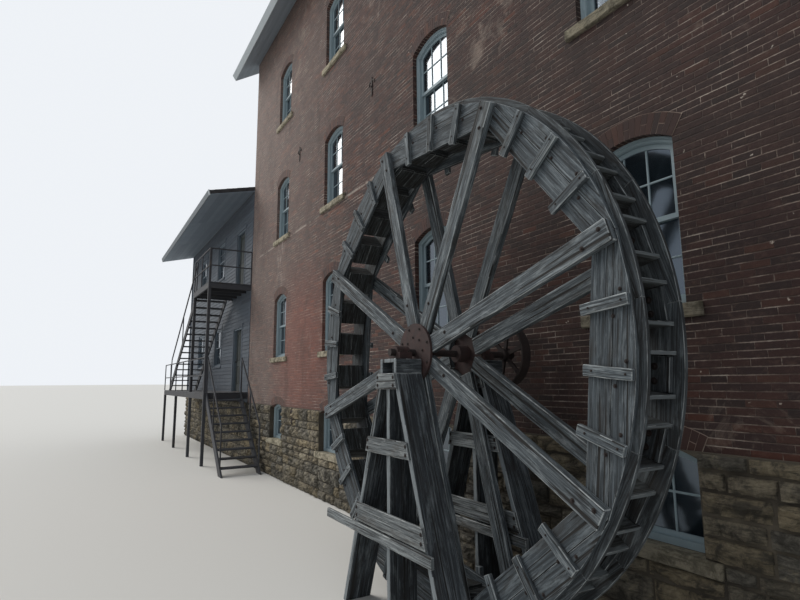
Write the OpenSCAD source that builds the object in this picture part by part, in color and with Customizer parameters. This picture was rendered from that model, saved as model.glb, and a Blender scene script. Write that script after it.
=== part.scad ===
// Brick watermill with a water wheel on trestles and a timber wing with a balcony.
// X runs along the river front, Y runs into the building, Z is up from the ground.
// The origin is on the ground, under the middle of the river front's outer brick face.

/* [Mill] */
// Length of the brick building along the river front
mill_length = 16840; // [16400:20:17400]
// Depth of the brick building from front to back
mill_depth = 11400; // [11000:50:12200]
// Thickness of the brick walls
wall_t = 450; // [350:10:550]
// Height of the stone base above the ground
stone_h = 1820; // [1700:10:1900]
// Thickness of the stone base walls
stone_t = 600; // [580:10:750]
// How far the stone base stands out past the brick
stone_proud = 40; // [0:5:70]
// Height of the brick walls at their outer face, under the roof
wall_top = 13200; // [12800:20:13800]

/* [Mill roof] */
// Slope of the mill roof in degrees
roof_pitch = 33.6; // [28:0.2:38]
// Thickness of the mill roof
roof_t = 190; // [150:5:240]
// Reach of the roof past the front and back walls
eave_reach = 600; // [450:10:800]
// Reach of the roof past the end walls
gable_reach = 660; // [400:10:800]
// Thickness of the boards along the eaves and the gables
fascia_t = 32; // [20:1:50]

/* [Mill windows] */
// Distance from the middle of the front to the inner window columns
inner_column = 1950; // [1800:10:2200]
// Distance from the middle of the front to the outer window columns
outer_column = 5455; // [5200:10:5700]
// Distance between the window columns of an end wall
end_column = 3300; // [3000:20:3500]
// Width of a window opening
window_w = 1000; // [900:10:1100]
// Height of a window opening from its sill to the spring of its arch
window_h = 1570; // [1450:10:1650]
// Rise of a window's arched head
window_rise = 150; // [120:5:180]
// Height of the first row's sills above the ground
row_1_sill = 3100; // [3000:10:3200]
// Height of the second row's sills above the ground
row_2_sill = 6410; // [6330:10:6500]
// Height of the third row's sills above the ground
row_3_sill = 9860; // [9780:10:9950]
// Height of the basement windows' sills above the ground
basement_sill = 960; // [850:10:1050]
// Height of a basement window from its sill to the spring of its arch
basement_window_h = 800; // [700:10:830]
// Rise of a basement window's arched head
basement_rise = 110; // [90:5:140]
// Depth of the windows behind the face of the wall
window_reveal = 110; // [90:5:130]
// Depth of a window frame through the wall
frame_d = 130; // [120:5:150]
// Width of a window frame's stiles and head
frame_w = 62; // [45:1:80]
// Width of a sash's stiles and rails
sash_w = 48; // [38:1:60]
// Thickness of a sash
sash_t = 38; // [30:1:45]
// Thickness of the window glass
glass_t = 6; // [4:1:10]
// Height of a stone sill
sill_h = 130; // [100:5:160]
// Length of a stone sill past each side of its window
sill_ear = 150; // [100:5:200]
// How far a stone sill stands out from the wall
sill_proud = 55; // [30:5:90]

/* [Mill floors] */
// Height of the ground floor above the ground
floor_1 = 2150; // [2100:10:2250]
// Height of the second floor above the ground
floor_2 = 5550; // [5450:10:5650]
// Height of the third floor above the ground
floor_3 = 8950; // [8850:10:9050]
// Thickness of the upper floors
floor_t = 250; // [200:10:300]
// Thickness of the basement floor
basement_floor_t = 150; // [100:10:200]

/* [Wing] */
// Length of the timber wing along the river front
wing_length = 10730; // [10300:10:11200]
// Depth of the timber wing
wing_depth = 6000; // [5800:20:6400]
// Thickness of the wing's walls
wing_wall_t = 150; // [130:5:180]
// Thickness of the wing's stone base
wing_stone_t = 320; // [300:10:400]
// Height of the wing's walls at their outer face, under the roof
wing_wall_top = 8690; // [8600:10:8800]
// Slope of the wing's roof in degrees
wing_pitch = 14.3; // [12:0.1:15]
// Thickness of the wing's roof
wing_roof_t = 170; // [140:5:200]
// Reach of the wing's roof over the balcony
wing_front_reach = 1400; // [1380:10:1500]
// Reach of the wing's roof at the back
wing_back_reach = 450; // [300:10:600]
// Reach of the wing's roof past its end wall
wing_end_reach = 400; // [300:10:500]
// Width of a window in the wing
wing_window_w = 1100; // [900:10:1200]
// Height of a window in the wing
wing_window_h = 1450; // [1300:10:1600]
// Height of a wing window's sill above its floor
wing_sill = 900; // [850:10:1000]
// Distance from the mill to the middle of the wing's first windows
wing_window_1 = 4500; // [4300:10:4700]
// Distance from the mill to the middle of the wing's last windows
wing_window_2 = 7900; // [7600:10:8300]

/* [Doors] */
// Width of a door leaf
door_w = 940; // [860:10:1000]
// Height of a door leaf
door_h = 2060; // [1980:10:2150]
// Thickness of a door leaf
door_t = 45; // [38:1:55]
// Width of a door frame's jambs
jamb_w = 60; // [45:1:80]
// Distance from the mill to the middle of the doors
door_place = 1485; // [1400:5:1600]
// Running gap round a door leaf
door_gap = 7; // [6:1:10]
// Distance of a door leaf from the inner face of its wall
leaf_inset = 20; // [10:1:30]
// Height of a door's hinges
hinge_h = 100; // [70:5:130]
// Distance of the top and bottom hinges from the leaf's ends
hinge_in = 230; // [150:5:300]
// Radius of a door knob
knob_r = 24; // [18:1:30]
// How far a door knob stands out from its leaf
knob_l = 60; // [45:1:62]
// Distance of a door knob from the edge of its leaf
knob_edge = 75; // [60:1:100]
// Height of a door knob above the floor
knob_z = 1000; // [900:10:1100]

/* [Porch] */
// Length of the balcony along the wing
balcony_length = 2500; // [2300:20:2700]
// How far the balcony and the deck reach out from the wing
balcony_depth = 1330; // [1250:10:1380]
// Height of the balcony above the ground
balcony_z = 5550; // [5500:10:5600]
// Height of the deck above the ground
deck_z = 2140; // [2100:10:2150]
// Length of the deck along the wing
deck_length = 8600; // [8450:20:9000]
// Thickness of the porch planks
plank_t = 50; // [40:1:60]
// Depth of the beams under the balcony and the deck
joist_h = 150; // [120:5:180]
// Thickness of those beams
joist_t = 60; // [45:1:80]
// Side of a porch post
post_w = 90; // [80:5:110]
// Height of the railings
rail_h = 1080; // [1000:10:1150]
// Side of the railing's bars
rail_w = 36; // [28:1:45]
// Width of the upper stair
upper_stair_w = 1060; // [950:10:1120]
// Going of one step of the upper stair
upper_going = 330; // [300:5:340]
// Number of rises in the upper stair
upper_rises = 16; // [15:1:17]
// Width of the lower stair
lower_stair_w = 1060; // [950:10:1120]
// Going of one step of the lower stair
lower_going = 240; // [230:5:280]
// Number of rises in the lower stair
lower_rises = 10; // [9:1:12]
// Thickness of the stair treads
tread_t = 42; // [35:1:50]
// Depth of the stair treads
tread_d = 260; // [240:5:290]
// How far a stair tread stands out past its rise
nosing = 20; // [15:1:25]
// Thickness of the stair strings
string_t = 45; // [38:1:55]
// Depth of the stair strings
string_h = 240; // [220:5:270]

/* [Water wheel] */
// Place of the wheel's shaft along the river front
wheel_x = 3825; // [3700:5:3950]
// Height of the wheel's shaft above the ground
wheel_z = 2730; // [2720:5:2800]
// Outer radius of the wheel
wheel_r = 2680; // [2620:5:2690]
// Distance from the wall to the wheel's far side
wheel_to_wall = 900; // [880:5:950]
// Distance between the outer faces of the wheel's two sides
wheel_w = 520; // [480:10:540]
// Number of spokes on each side
spoke_count = 8; // [6:1:8]
// Number of buckets from one spoke to the next
buckets_per_spoke = 4; // [3:1:5]
// Turn of the first spoke from level, in degrees
spoke_turn = 16.5; // [0:0.5:44]
// Thickness of a layer of boards in the wheel's sides
shroud_t = 36; // [30:1:42]
// Width of the wheel's sides half way between two spokes
shroud_w = 450; // [400:10:500]
// How far the curved inner layer stands out past the outer planks
rim_step = 60; // [40:5:80]
// How far the curved layer reaches in past the corners of the planks
rim_lap = 60; // [40:5:80]
// Open joint between two planks of a side
plank_gap = 2; // [1:0.5:4]
// Width of a spoke
spoke_w = 175; // [150:5:200]
// Thickness of a spoke
spoke_t = 72; // [60:2:80]
// Distance of the spokes' ends from the shaft's centre
spoke_start = 235; // [230:5:260]
// Width of a cleat across the wheel's side
cleat_w = 82; // [60:2:100]
// Thickness of a cleat
cleat_t = 44; // [30:2:60]
// Width of a bucket at its back board
bucket_w = 250; // [220:5:270]
// Thickness of the bucket boards
bucket_t = 28; // [22:1:34]
// Thickness of a bucket's end blocks
block_t = 40; // [30:2:50]

/* [Hubs, shaft and pulley] */
// Radius of the hub discs
hub_r = 312; // [305:1:330]
// Thickness of the hub discs
hub_t = 28; // [20:1:34]
// Radius of the boss of a hub
boss_r = 95; // [80:1:120]
// Length of a bearing along the shaft
bearing_l = 150; // [120:5:180]
// Width of a bearing across the shaft
bearing_w = 220; // [180:5:260]
// Outer radius of a bearing round the shaft
bearing_r = 66; // [60:1:70]
// Running clearance round the shaft in its bearings
bearing_gap = 0.05; // [0.02:0.01:0.1]
// Length of the shaft past the pulley and past the near trestle's middle
shaft_end = 60; // [30:5:80]
// Radius of the shaft
shaft_r = 38; // [30:1:45]
// Radius of the pulley
pulley_r = 372; // [340:2:400]
// Width of the pulley's rim
pulley_w = 120; // [90:2:140]
// Thickness of the pulley's rim
pulley_rim_t = 24; // [16:1:32]
// Distance from the wall to the middle of the pulley
pulley_to_wall = 250; // [220:5:280]
// Number of the pulley's spokes
pulley_spokes = 6; // [5:1:8]
// Radius of the pulley's boss
pulley_boss_r = 76; // [60:1:100]

/* [Trestles] */
// Width of a trestle's legs and cap
trestle_w = 315; // [280:5:320]
// Half length of a trestle's cap
cap_half = 165; // [150:5:200]
// Height of a trestle's cap
cap_h = 150; // [120:5:180]
// Height from a cap's top to the middle of the shaft
bearing_h = 72; // [65:1:90]
// Thickness of a trestle's legs and middle post
leg_t = 62; // [50:2:80]
// Lean of a trestle's legs in degrees
leg_lean = 19.3; // [15:0.1:23]
// Thickness of a trestle's rails
trestle_rail_t = 42; // [30:1:45]
// Running gap between the trestles and the wheel's hubs
trestle_gap = 10; // [6:1:20]
// Depth of the rail under a trestle's cap
top_rail_h = 160; // [120:5:200]
// Height of a trestle's middle rail above the ground
mid_rail_z = 1690; // [1500:10:1800]
// Depth of a trestle's middle rail
mid_rail_h = 160; // [120:5:200]
// Height of a trestle's low rail above the ground
low_rail_z = 940; // [930:5:1050]
// Depth of a trestle's low rail
low_rail_h = 190; // [140:5:220]
// Height of a trestle's long sill above the ground
long_sill_z = 820; // [700:5:825]
// Depth of a trestle's long sill
long_sill_h = 100; // [80:5:100]
// How far a trestle's long sill reaches out past its left leg's foot
long_sill_reach = 400; // [200:10:600]
// How far a trestle's long sill reaches out past its right leg
long_sill_stub = 60; // [30:5:100]

/* [Hidden] */
$fn = 64;
round_fn = 180;
lap = 20;
fit = 0.3;

half_length = mill_length / 2;
half_depth = mill_depth / 2;
roof_rise = tan(roof_pitch);
wing_rise = tan(wing_pitch);
roof_z = wall_top + fit;
wing_roof_z = wing_wall_top + fit;
wing_right = -half_length;
wing_left = wing_right - wing_length;
wing_middle = (wing_right + wing_left) / 2;

front_columns = [-outer_column, -inner_column, inner_column, outer_column];
end_columns = [-end_column, 0, end_column];
row_sills = [row_1_sill, row_2_sill, row_3_sill];

// Each window is [wall, place along the wall, height of its sill, kind]
front_windows = concat(
    [for (u = front_columns) for (z = row_sills) ["front", u, z, "tall"]],
    [for (u = front_columns) ["front", u, basement_sill, "basement"]]
);
back_windows = concat(
    [for (u = front_columns) for (z = row_sills) ["back", u, z, "tall"]],
    [for (u = front_columns) ["back", u, basement_sill, "basement"]]
);
right_windows = concat(
    [for (u = end_columns) for (z = row_sills) ["right", u, z, "tall"]],
    [for (u = end_columns) ["right", u, basement_sill, "basement"]]
);
left_windows = concat(
    [for (u = end_columns) ["left", u, row_3_sill, "tall"]],
    [for (z = [row_1_sill, row_2_sill]) ["left", -end_column, z, "tall"]],
    [["left", -end_column, basement_sill, "basement"]]
);
wing_columns = [for (d = [wing_window_1, wing_window_2]) wing_right - d - wing_middle];
wing_sills = [deck_z + wing_sill, balcony_z + wing_sill];
wing_windows = concat(
    [for (u = wing_columns) for (z = wing_sills) ["wing_front", u, z, "wing"]],
    [for (u = wing_columns) for (z = wing_sills) ["wing_back", -u, z, "wing"]],
    [for (z = wing_sills) ["wing_end", 0, z, "wing"]]
);
mill_windows = concat(front_windows, back_windows, right_windows, left_windows);
all_windows = concat(mill_windows, wing_windows);

door_x = wing_right - door_place;
door_hole_w = door_w + 2 * door_gap + 2 * jamb_w;
door_hole_h = door_h + 2 * door_gap + jamb_w;
leaf_y = wing_wall_t - door_t - leaf_inset;

near_y = -(wheel_to_wall + wheel_w);
far_y = -wheel_to_wall;
bucket_y0 = near_y + 2 * shroud_t;
bucket_y1 = far_y - 2 * shroud_t;
plank_r = wheel_r - rim_step;
shroud_in = wheel_r - shroud_w;
corner_r = shroud_in / cos(180 / spoke_count);
bucket_count = spoke_count * buckets_per_spoke;
bucket_pitch = 360 / bucket_count;
back_r = corner_r - rim_lap;
bucket_half = atan(bucket_w / 2 / back_r);
board_r = (back_r + fit + bucket_t * sin(bucket_half)) / cos(bucket_half);
near_hub_y = near_y - spoke_t - hub_t;
far_hub_y = far_y + spoke_t;
near_trestle_y = near_hub_y - trestle_gap - trestle_w;
far_trestle_y = far_hub_y + hub_t + trestle_gap + trestle_rail_t;
cap_top = wheel_z - bearing_h;
leg_top = cap_top - cap_h;
leg_run = leg_top * tan(leg_lean);
shaft_y0 = near_trestle_y + trestle_w / 2 - bearing_l / 2 - shaft_end;
shaft_y1 = -pulley_to_wall + pulley_w / 2 + shaft_end;

upper_rise = (balcony_z - deck_z) / upper_rises;
upper_run = (upper_rises - 1) * upper_going;
lower_rise = deck_z / lower_rises;
balcony_left = wing_right - balcony_length;
deck_left = wing_right - deck_length;

brick = [0.50, 0.26, 0.20];
stone = [0.62, 0.57, 0.48];
sill_stone = [0.70, 0.62, 0.48];
old_wood = [0.46, 0.46, 0.46];
dark_wood = [0.30, 0.31, 0.34];
frame_paint = [0.42, 0.50, 0.52];
porch_paint = [0.22, 0.24, 0.28];
siding_paint = [0.36, 0.40, 0.46];
iron = [0.30, 0.20, 0.17];
roofing = [0.25, 0.25, 0.27];
glass = [0.55, 0.65, 0.75];

// Places what is drawn along X with its outer face at Y 0 onto a named wall
module on_wall(wall) {
    if (wall == "front") children();
    if (wall == "back") translate([0, mill_depth, 0]) rotate([0, 0, 180]) children();
    if (wall == "right") translate([half_length, half_depth, 0]) rotate([0, 0, 90]) children();
    if (wall == "left") translate([-half_length, half_depth, 0]) rotate([0, 0, -90]) children();
    if (wall == "wing_front") translate([wing_middle, 0, 0]) children();
    if (wall == "wing_back") translate([wing_middle, wing_depth, 0]) rotate([0, 0, 180]) children();
    if (wall == "wing_end") translate([wing_left, wing_depth / 2, 0]) rotate([0, 0, -90]) children();
}

// An outline in X and Z made solid from y0 to y1
module upright(y0, y1) {
    translate([0, y1, 0]) rotate([90, 0, 0]) linear_extrude(y1 - y0) children();
}

// An outline in Y and Z made solid from x0 to x1
module along(x0, x1) {
    translate([x0, 0, 0]) rotate([90, 0, 90]) linear_extrude(x1 - x0) children();
}

// A box from one corner to the other
module block(low, high) {
    translate(low) cube(high - low);
}

// Window sizes by kind
function hole_w(kind) = kind == "wing" ? wing_window_w : window_w;
function hole_h(kind) = kind == "tall" ? window_h : kind == "basement" ? basement_window_h : wing_window_h;
function hole_rise(kind) = kind == "tall" ? window_rise : kind == "basement" ? basement_rise : 0;
function reveal(kind) = kind == "wing" ? 0 : window_reveal;
function arch_r(kind) = (pow(hole_w(kind) / 2, 2) + pow(hole_rise(kind), 2)) / (2 * hole_rise(kind));
function arch_z(kind) = hole_h(kind) + hole_rise(kind) - arch_r(kind);
function meeting_z(kind) = (hole_h(kind) + hole_rise(kind)) / 2;

// The outline of a window's hole, smaller by inset on every side
module window_outline(kind, inset) {
    w = hole_w(kind) - 2 * inset;
    half = hole_h(kind) / 2;
    if (hole_rise(kind) == 0) {
        translate([-w / 2, inset]) square([w, hole_h(kind) - 2 * inset]);
    } else {
        translate([-w / 2, inset]) square([w, half - inset + lap]);
        intersection() {
            translate([0, arch_z(kind)]) circle(arch_r(kind) - inset, $fn = round_fn);
            translate([-w / 2, half]) square([w, hole_h(kind)]);
        }
    }
}

module above(z) {
    translate([-window_w, z]) square([2 * window_w, 2 * window_h]);
}

module below(z) {
    translate([-window_w, z - 2 * window_h]) square([2 * window_w, 2 * window_h]);
}

module stone_sill(kind) {
    out = sill_proud + (kind == "basement" ? stone_proud : 0);
    block([-window_w / 2 - sill_ear, -out, -sill_h], [window_w / 2 + sill_ear, window_reveal, 0]);
}

// Cuts for the windows and their sills through a wall
module window_holes(windows, depth) {
    for (w = windows)
        on_wall(w[0]) translate([w[1], 0, w[2]]) {
            upright(-lap - stone_proud, depth + lap) window_outline(w[3], 0);
            if (w[3] != "wing") stone_sill(w[3]);
        }
}

// Stone base of the mill

module foundation_front() {
    color(stone) difference() {
        block([-half_length - stone_proud, -stone_proud, 0], [half_length + stone_proud, stone_t, stone_h]);
        window_holes(front_windows, stone_t);
    }
}

module foundation_back() {
    color(stone) difference() {
        block([-half_length - stone_proud, mill_depth - stone_t, 0],
            [half_length + stone_proud, mill_depth + stone_proud, stone_h]);
        window_holes(back_windows, stone_t);
    }
}

module foundation_ends() {
    color(stone) difference() {
        for (x = [-half_length - stone_proud, half_length - stone_t])
            block([x, stone_t, 0], [x + stone_t + stone_proud, mill_depth - stone_t, stone_h]);
        window_holes(concat(left_windows, right_windows), stone_t);
    }
}

// Brick walls

module long_wall() {
    along(-half_length, half_length)
        polygon([[0, stone_h], [wall_t, stone_h], [wall_t, wall_top + wall_t * roof_rise], [0, wall_top]]);
}

module front_wall() {
    color(brick) difference() {
        long_wall();
        window_holes(front_windows, wall_t);
    }
}

module back_wall() {
    color(brick) difference() {
        on_wall("back") long_wall();
        window_holes(back_windows, wall_t);
    }
}

module gable_wall(x0, windows) {
    inner_top = wall_top + wall_t * roof_rise;
    color(brick) difference() {
        along(x0, x0 + wall_t)
            polygon([[wall_t, stone_h], [mill_depth - wall_t, stone_h], [mill_depth - wall_t, inner_top],
                [half_depth, wall_top + half_depth * roof_rise], [wall_t, inner_top]]);
        window_holes(windows, wall_t);
    }
}

module left_gable_wall() {
    gable_wall(-half_length, left_windows);
}

module right_gable_wall() {
    gable_wall(half_length - wall_t, right_windows);
}

module mill_floors() {
    x = half_length - wall_t;
    y = mill_depth - wall_t;
    color(old_wood) {
        block([-half_length + stone_t, stone_t, 0],
            [half_length - stone_t, mill_depth - stone_t, basement_floor_t]);
        block([-x, wall_t, stone_h], [x, y, floor_1]);
        block([-x, wall_t, floor_2 - floor_t], [x, y, floor_2]);
        block([-x, wall_t, floor_3 - floor_t], [x, y, floor_3]);
    }
}

// Roofs

// One slope of a roof from its eave up to a ridge over Y middle
module roof_slope(x0, x1, reach, wall_z, angle, thick, middle) {
    low = [-reach, wall_z - reach * tan(angle)];
    peak = [middle, wall_z + middle * tan(angle)];
    along(x0, x1)
        polygon([low, peak, [middle, peak[1] + thick / cos(angle)],
            [low[0] - thick * sin(angle), low[1] + thick * cos(angle)]]);
}

module mill_slope() {
    roof_slope(-half_length - gable_reach, half_length + gable_reach, eave_reach, roof_z,
        roof_pitch, roof_t, half_depth);
}

module front_roof() {
    color(roofing) mill_slope();
}

module back_roof() {
    color(roofing) on_wall("back") mill_slope();
}

// A board square to a roof's slope, along its low edge
module eave_board(x0, x1, reach, wall_z, angle, thick) {
    along(x0, x1)
        translate([-reach, wall_z - reach * tan(angle)]) rotate(angle)
            translate([-fascia_t - fit, 0]) square([fascia_t, thick]);
}

// A board on the end of the roof, along its slope up to the ridge
module gable_board(x0) {
    roof_slope(x0, x0 + fascia_t, eave_reach, roof_z, roof_pitch, roof_t, half_depth - fit);
}

module eave_boards() {
    edge = half_length + gable_reach;
    color(dark_wood) {
        for (side = ["front", "back"]) on_wall(side) {
            eave_board(-edge, edge, eave_reach, roof_z, roof_pitch, roof_t);
            gable_board(edge + fit);
            gable_board(-edge - fit - fascia_t);
        }
        eave_board(wing_left - wing_end_reach, wing_right, wing_front_reach, wing_roof_z,
            wing_pitch, wing_roof_t);
    }
}

// Windows

module stone_sills() {
    color(sill_stone) for (w = mill_windows)
        on_wall(w[0]) translate([w[1], 0, w[2]]) stone_sill(w[3]);
}

module window_frames() {
    color(frame_paint) for (w = all_windows)
        on_wall(w[0]) translate([w[1], reveal(w[3]), w[2]])
            upright(0, frame_d) difference() {
                window_outline(w[3], fit);
                window_outline(w[3], frame_w);
            }
}

// A sash's rails and stiles between two heights of the window
module sash_ring(kind) {
    difference() {
        intersection() {
            window_outline(kind, frame_w + fit);
            children(0);
        }
        intersection() {
            window_outline(kind, frame_w + sash_w);
            children(1);
        }
    }
}

// The fixed sash of a basement window, or the two sliding sashes of a tall one
module sashes(kind) {
    m = meeting_z(kind);
    y = frame_d / 2;
    if (kind == "basement") {
        upright(y - sash_t / 2, y + sash_t / 2) sash_ring(kind) {
            above(0);
            above(0);
        }
    } else {
        upright(y - sash_t - fit, y - fit) sash_ring(kind) {
            above(m - sash_w / 2);
            above(m + sash_w / 2);
        }
        upright(y, y + sash_t) sash_ring(kind) {
            below(m + sash_w / 2);
            below(m - sash_w / 2);
        }
    }
}

module window_sashes() {
    color(frame_paint) for (w = all_windows)
        on_wall(w[0]) translate([w[1], reveal(w[3]), w[2]]) sashes(w[3]);
}

// A pane between two heights, in the middle of its sash
module pane(kind, y) {
    upright(y - glass_t / 2, y + glass_t / 2)
        intersection() {
            window_outline(kind, frame_w + sash_w + fit);
            children();
        }
}

module panes(kind) {
    m = meeting_z(kind);
    y = frame_d / 2;
    if (kind == "basement") {
        pane(kind, y) above(0);
    } else {
        pane(kind, y - sash_t / 2) above(m + sash_w / 2 + fit);
        pane(kind, y + sash_t / 2) below(m - sash_w / 2 - fit);
    }
}

module window_glass() {
    color(glass) for (w = all_windows)
        on_wall(w[0]) translate([w[1], reveal(w[3]), w[2]]) panes(w[3]);
}

// Timber wing

module wing_foundation() {
    x0 = wing_left - stone_proud;
    x1 = wing_right - stone_proud;
    y1 = wing_stone_t - stone_proud;
    color(stone) {
        for (y = [-stone_proud, wing_depth - y1]) block([x0, y, 0], [x1, y + wing_stone_t, stone_h]);
        block([x0, y1 + fit, 0], [x0 + wing_stone_t, wing_depth - y1 - fit, stone_h]);
    }
}

module wing_slab(x0, x1, z0) {
    along(x0, x1)
        polygon([[0, z0], [wing_wall_t, z0], [wing_wall_t, wing_wall_top + wing_wall_t * wing_rise],
            [0, wing_wall_top]]);
}

module door_holes() {
    for (z = [deck_z, balcony_z])
        block([door_x - door_hole_w / 2, -lap, z],
            [door_x + door_hole_w / 2, wing_wall_t + lap, z + door_hole_h]);
}

module wing_wall_past_door() {
    color(siding_paint) difference() {
        wing_slab(wing_left, door_x - door_hole_w / 2, stone_h);
        window_holes(wing_windows, wing_wall_t);
    }
}

module wing_wall_by_mill() {
    color(siding_paint) wing_slab(door_x + door_hole_w / 2, wing_right, stone_h);
}

module wing_wall_over_door() {
    color(siding_paint) difference() {
        wing_slab(door_x - door_hole_w / 2, door_x + door_hole_w / 2, deck_z + door_hole_h);
        door_holes();
    }
}

module wing_back_wall() {
    color(siding_paint) difference() {
        on_wall("wing_back") translate([-wing_middle, 0, 0]) wing_slab(wing_left, wing_right, stone_h);
        window_holes(wing_windows, wing_wall_t);
    }
}

module wing_end_wall() {
    inner_top = wing_wall_top + wing_wall_t * wing_rise;
    color(siding_paint) difference() {
        along(wing_left, wing_left + wing_wall_t)
            polygon([[wing_wall_t, stone_h], [wing_depth - wing_wall_t, stone_h],
                [wing_depth - wing_wall_t, inner_top],
                [wing_depth / 2, wing_wall_top + wing_depth / 2 * wing_rise], [wing_wall_t, inner_top]]);
        window_holes(wing_windows, wing_wall_t);
    }
}

module wing_floors() {
    x0 = wing_left + wing_wall_t;
    y1 = wing_depth - wing_wall_t;
    color(old_wood) {
        block([x0, wing_wall_t, stone_h], [wing_right, y1, deck_z]);
        block([door_x - door_hole_w / 2, 0, stone_h], [door_x + door_hole_w / 2, wing_wall_t, deck_z]);
        block([x0, wing_wall_t, balcony_z - floor_t], [wing_right, y1, balcony_z]);
    }
}

module wing_front_roof() {
    color(roofing) roof_slope(wing_left - wing_end_reach, wing_right, wing_front_reach, wing_roof_z,
        wing_pitch, wing_roof_t, wing_depth / 2);
}

module wing_back_roof() {
    color(roofing) translate([0, wing_depth, 0]) mirror([0, 1, 0])
        roof_slope(wing_left - wing_end_reach, wing_right, wing_back_reach, wing_roof_z,
            wing_pitch, wing_roof_t, wing_depth / 2);
}

// Doors

// The knuckles that carry a leaf, in the gap beside it
module door_hinges(z) {
    for (h = [hinge_in, door_h / 2, door_h - hinge_in])
        translate([door_x + (door_w + door_gap) / 2, leaf_y + door_t, z + door_gap + h - hinge_h / 2])
            cylinder(hinge_h, door_gap / 2 - fit, door_gap / 2 - fit);
}

module door_frames() {
    w = door_hole_w / 2;
    color(frame_paint) for (z = [deck_z, balcony_z]) {
        door_hinges(z);
        for (side = [-1, 1])
            block([door_x + side * (w - jamb_w / 2) - jamb_w / 2 + fit, 0, z],
                [door_x + side * (w - jamb_w / 2) + jamb_w / 2 - fit, wing_wall_t, z + door_hole_h - fit]);
        block([door_x - w + jamb_w, 0, z + door_hole_h - jamb_w],
            [door_x + w - jamb_w, wing_wall_t, z + door_hole_h - fit]);
    }
}

// A door leaf with its knob, standing on a floor at z
module door_leaf(z) {
    block([door_x - door_w / 2, leaf_y, z + door_gap],
        [door_x + door_w / 2, leaf_y + door_t, z + door_gap + door_h]);
    for (y = [leaf_y - knob_l, leaf_y + door_t])
        translate([door_x - door_w / 2 + knob_edge, y, z + knob_z]) rotate([-90, 0, 0])
            cylinder(knob_l, knob_r, knob_r);
}

module lower_door() {
    color(frame_paint) door_leaf(deck_z);
}

module upper_door() {
    color(frame_paint) door_leaf(balcony_z);
}

// Porch

module post(x, y, z0, z1) {
    block([x - post_w / 2, y - post_w / 2, z0], [x + post_w / 2, y + post_w / 2, z1]);
}

module porch_posts() {
    y = -balcony_depth + post_w / 2;
    low = deck_z - plank_t - joist_h;
    high = balcony_z - plank_t - joist_h;
    inner = [wing_right - post_w / 2, balcony_left + post_w / 2];
    outer = [(balcony_left + deck_left) / 2, deck_left + post_w / 2];
    color(porch_paint) {
        for (x = concat(inner, outer)) post(x, y, 0, low);
        for (x = inner) post(x, y, deck_z, high);
    }
}

// A planked floor with beams along its edges, from x0 to x1, reaching out from the wing
module platform(x0, x1, z) {
    bottom = z - plank_t - joist_h;
    block([x0, -balcony_depth, z - plank_t], [x1, 0, z]);
    block([x0, -balcony_depth, bottom], [x1, -balcony_depth + joist_t, z - plank_t - fit]);
    for (x = [x0, (x0 + x1 - joist_t) / 2, x1 - joist_t])
        block([x, -balcony_depth + joist_t + fit, bottom], [x + joist_t, 0, z - plank_t - fit]);
}

module balcony() {
    color(porch_paint) platform(balcony_left, wing_right, balcony_z);
}

module deck() {
    color(porch_paint) platform(deck_left, wing_right, deck_z);
}

// A railing in X and Z: two level bars carried by posts
module rail_side(length, bays) {
    difference() {
        square([length, rail_h]);
        for (i = [0:bays - 1])
            for (low = [0, 1]) {
                pitch = (length - rail_w) / bays;
                half = (rail_h - rail_w) / 2;
                translate([rail_w + i * pitch, low * (half - rail_w / 2) + (low ? rail_w : -lap)])
                    square([pitch - rail_w, half - rail_w / 2 + (low ? 0 : lap)]);
            }
    }
}

// A railing along the platform's outer edge
module outer_rail(x0, x1, z, bays) {
    translate([x0, 0, z]) upright(-balcony_depth, -balcony_depth + rail_w) rail_side(x1 - x0, bays);
}

module porch_rails() {
    color(porch_paint) {
        outer_rail(balcony_left, wing_right, balcony_z, 2);
        translate([0, 0, balcony_z]) along(wing_right - rail_w, wing_right)
            translate([-balcony_depth + rail_w + fit, 0]) rail_side(balcony_depth - rail_w - fit, 1);
        outer_rail(deck_left, balcony_left - fit, deck_z, 4);
        outer_rail(balcony_left + post_w + fit, wing_right - post_w - fit, deck_z, 1);
    }
}

// A stair that goes down along X from a landing at top to a floor at bottom
module flight(rises, rise, going, width, top, bottom) {
    slope = rise / going;
    plumb = string_h * sqrt(1 + slope * slope);
    for (y = [0, width - string_t])
        upright(y, y + string_t)
            polygon([[0, top], [0, top - plumb], [(top - plumb - bottom) / slope, bottom],
                [(top - bottom) / slope, bottom]]);
    for (i = [1:rises - 1])
        block([i * going + nosing - tread_d, string_t + fit, top - i * rise - tread_t],
            [i * going + nosing, width - string_t - fit, top - i * rise]);
}

// A handrail over a flight, with a post at each end and one half way
module flight_rail(rises, rise, going, top, bar) {
    slope = rise / going;
    run = (rises - 1) * going;
    for (x = [0, run / 2, run - bar])
        translate([x, 0]) polygon([[0, top - slope * x], [bar, top - slope * (x + bar)],
            [bar, top - slope * (x + bar) + rail_h - bar], [0, top - slope * x + rail_h - bar]]);
    polygon([[0, top + rail_h - 2 * bar], [run, top - slope * run + rail_h - 2 * bar],
        [run, top - slope * run + rail_h], [0, top + rail_h]]);
}

module upper_flight() {
    translate([balcony_left, -balcony_depth + 2 * rail_w, 0]) mirror([1, 0, 0]) children();
}

module lower_flight() {
    translate([wing_right, -balcony_depth + 2 * rail_w, 0]) children();
}

module upper_stair() {
    color(porch_paint) upper_flight()
        flight(upper_rises, upper_rise, upper_going, upper_stair_w, balcony_z, deck_z);
}

module lower_stair() {
    color(porch_paint) lower_flight()
        flight(lower_rises, lower_rise, lower_going, lower_stair_w, deck_z, 0);
}

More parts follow.
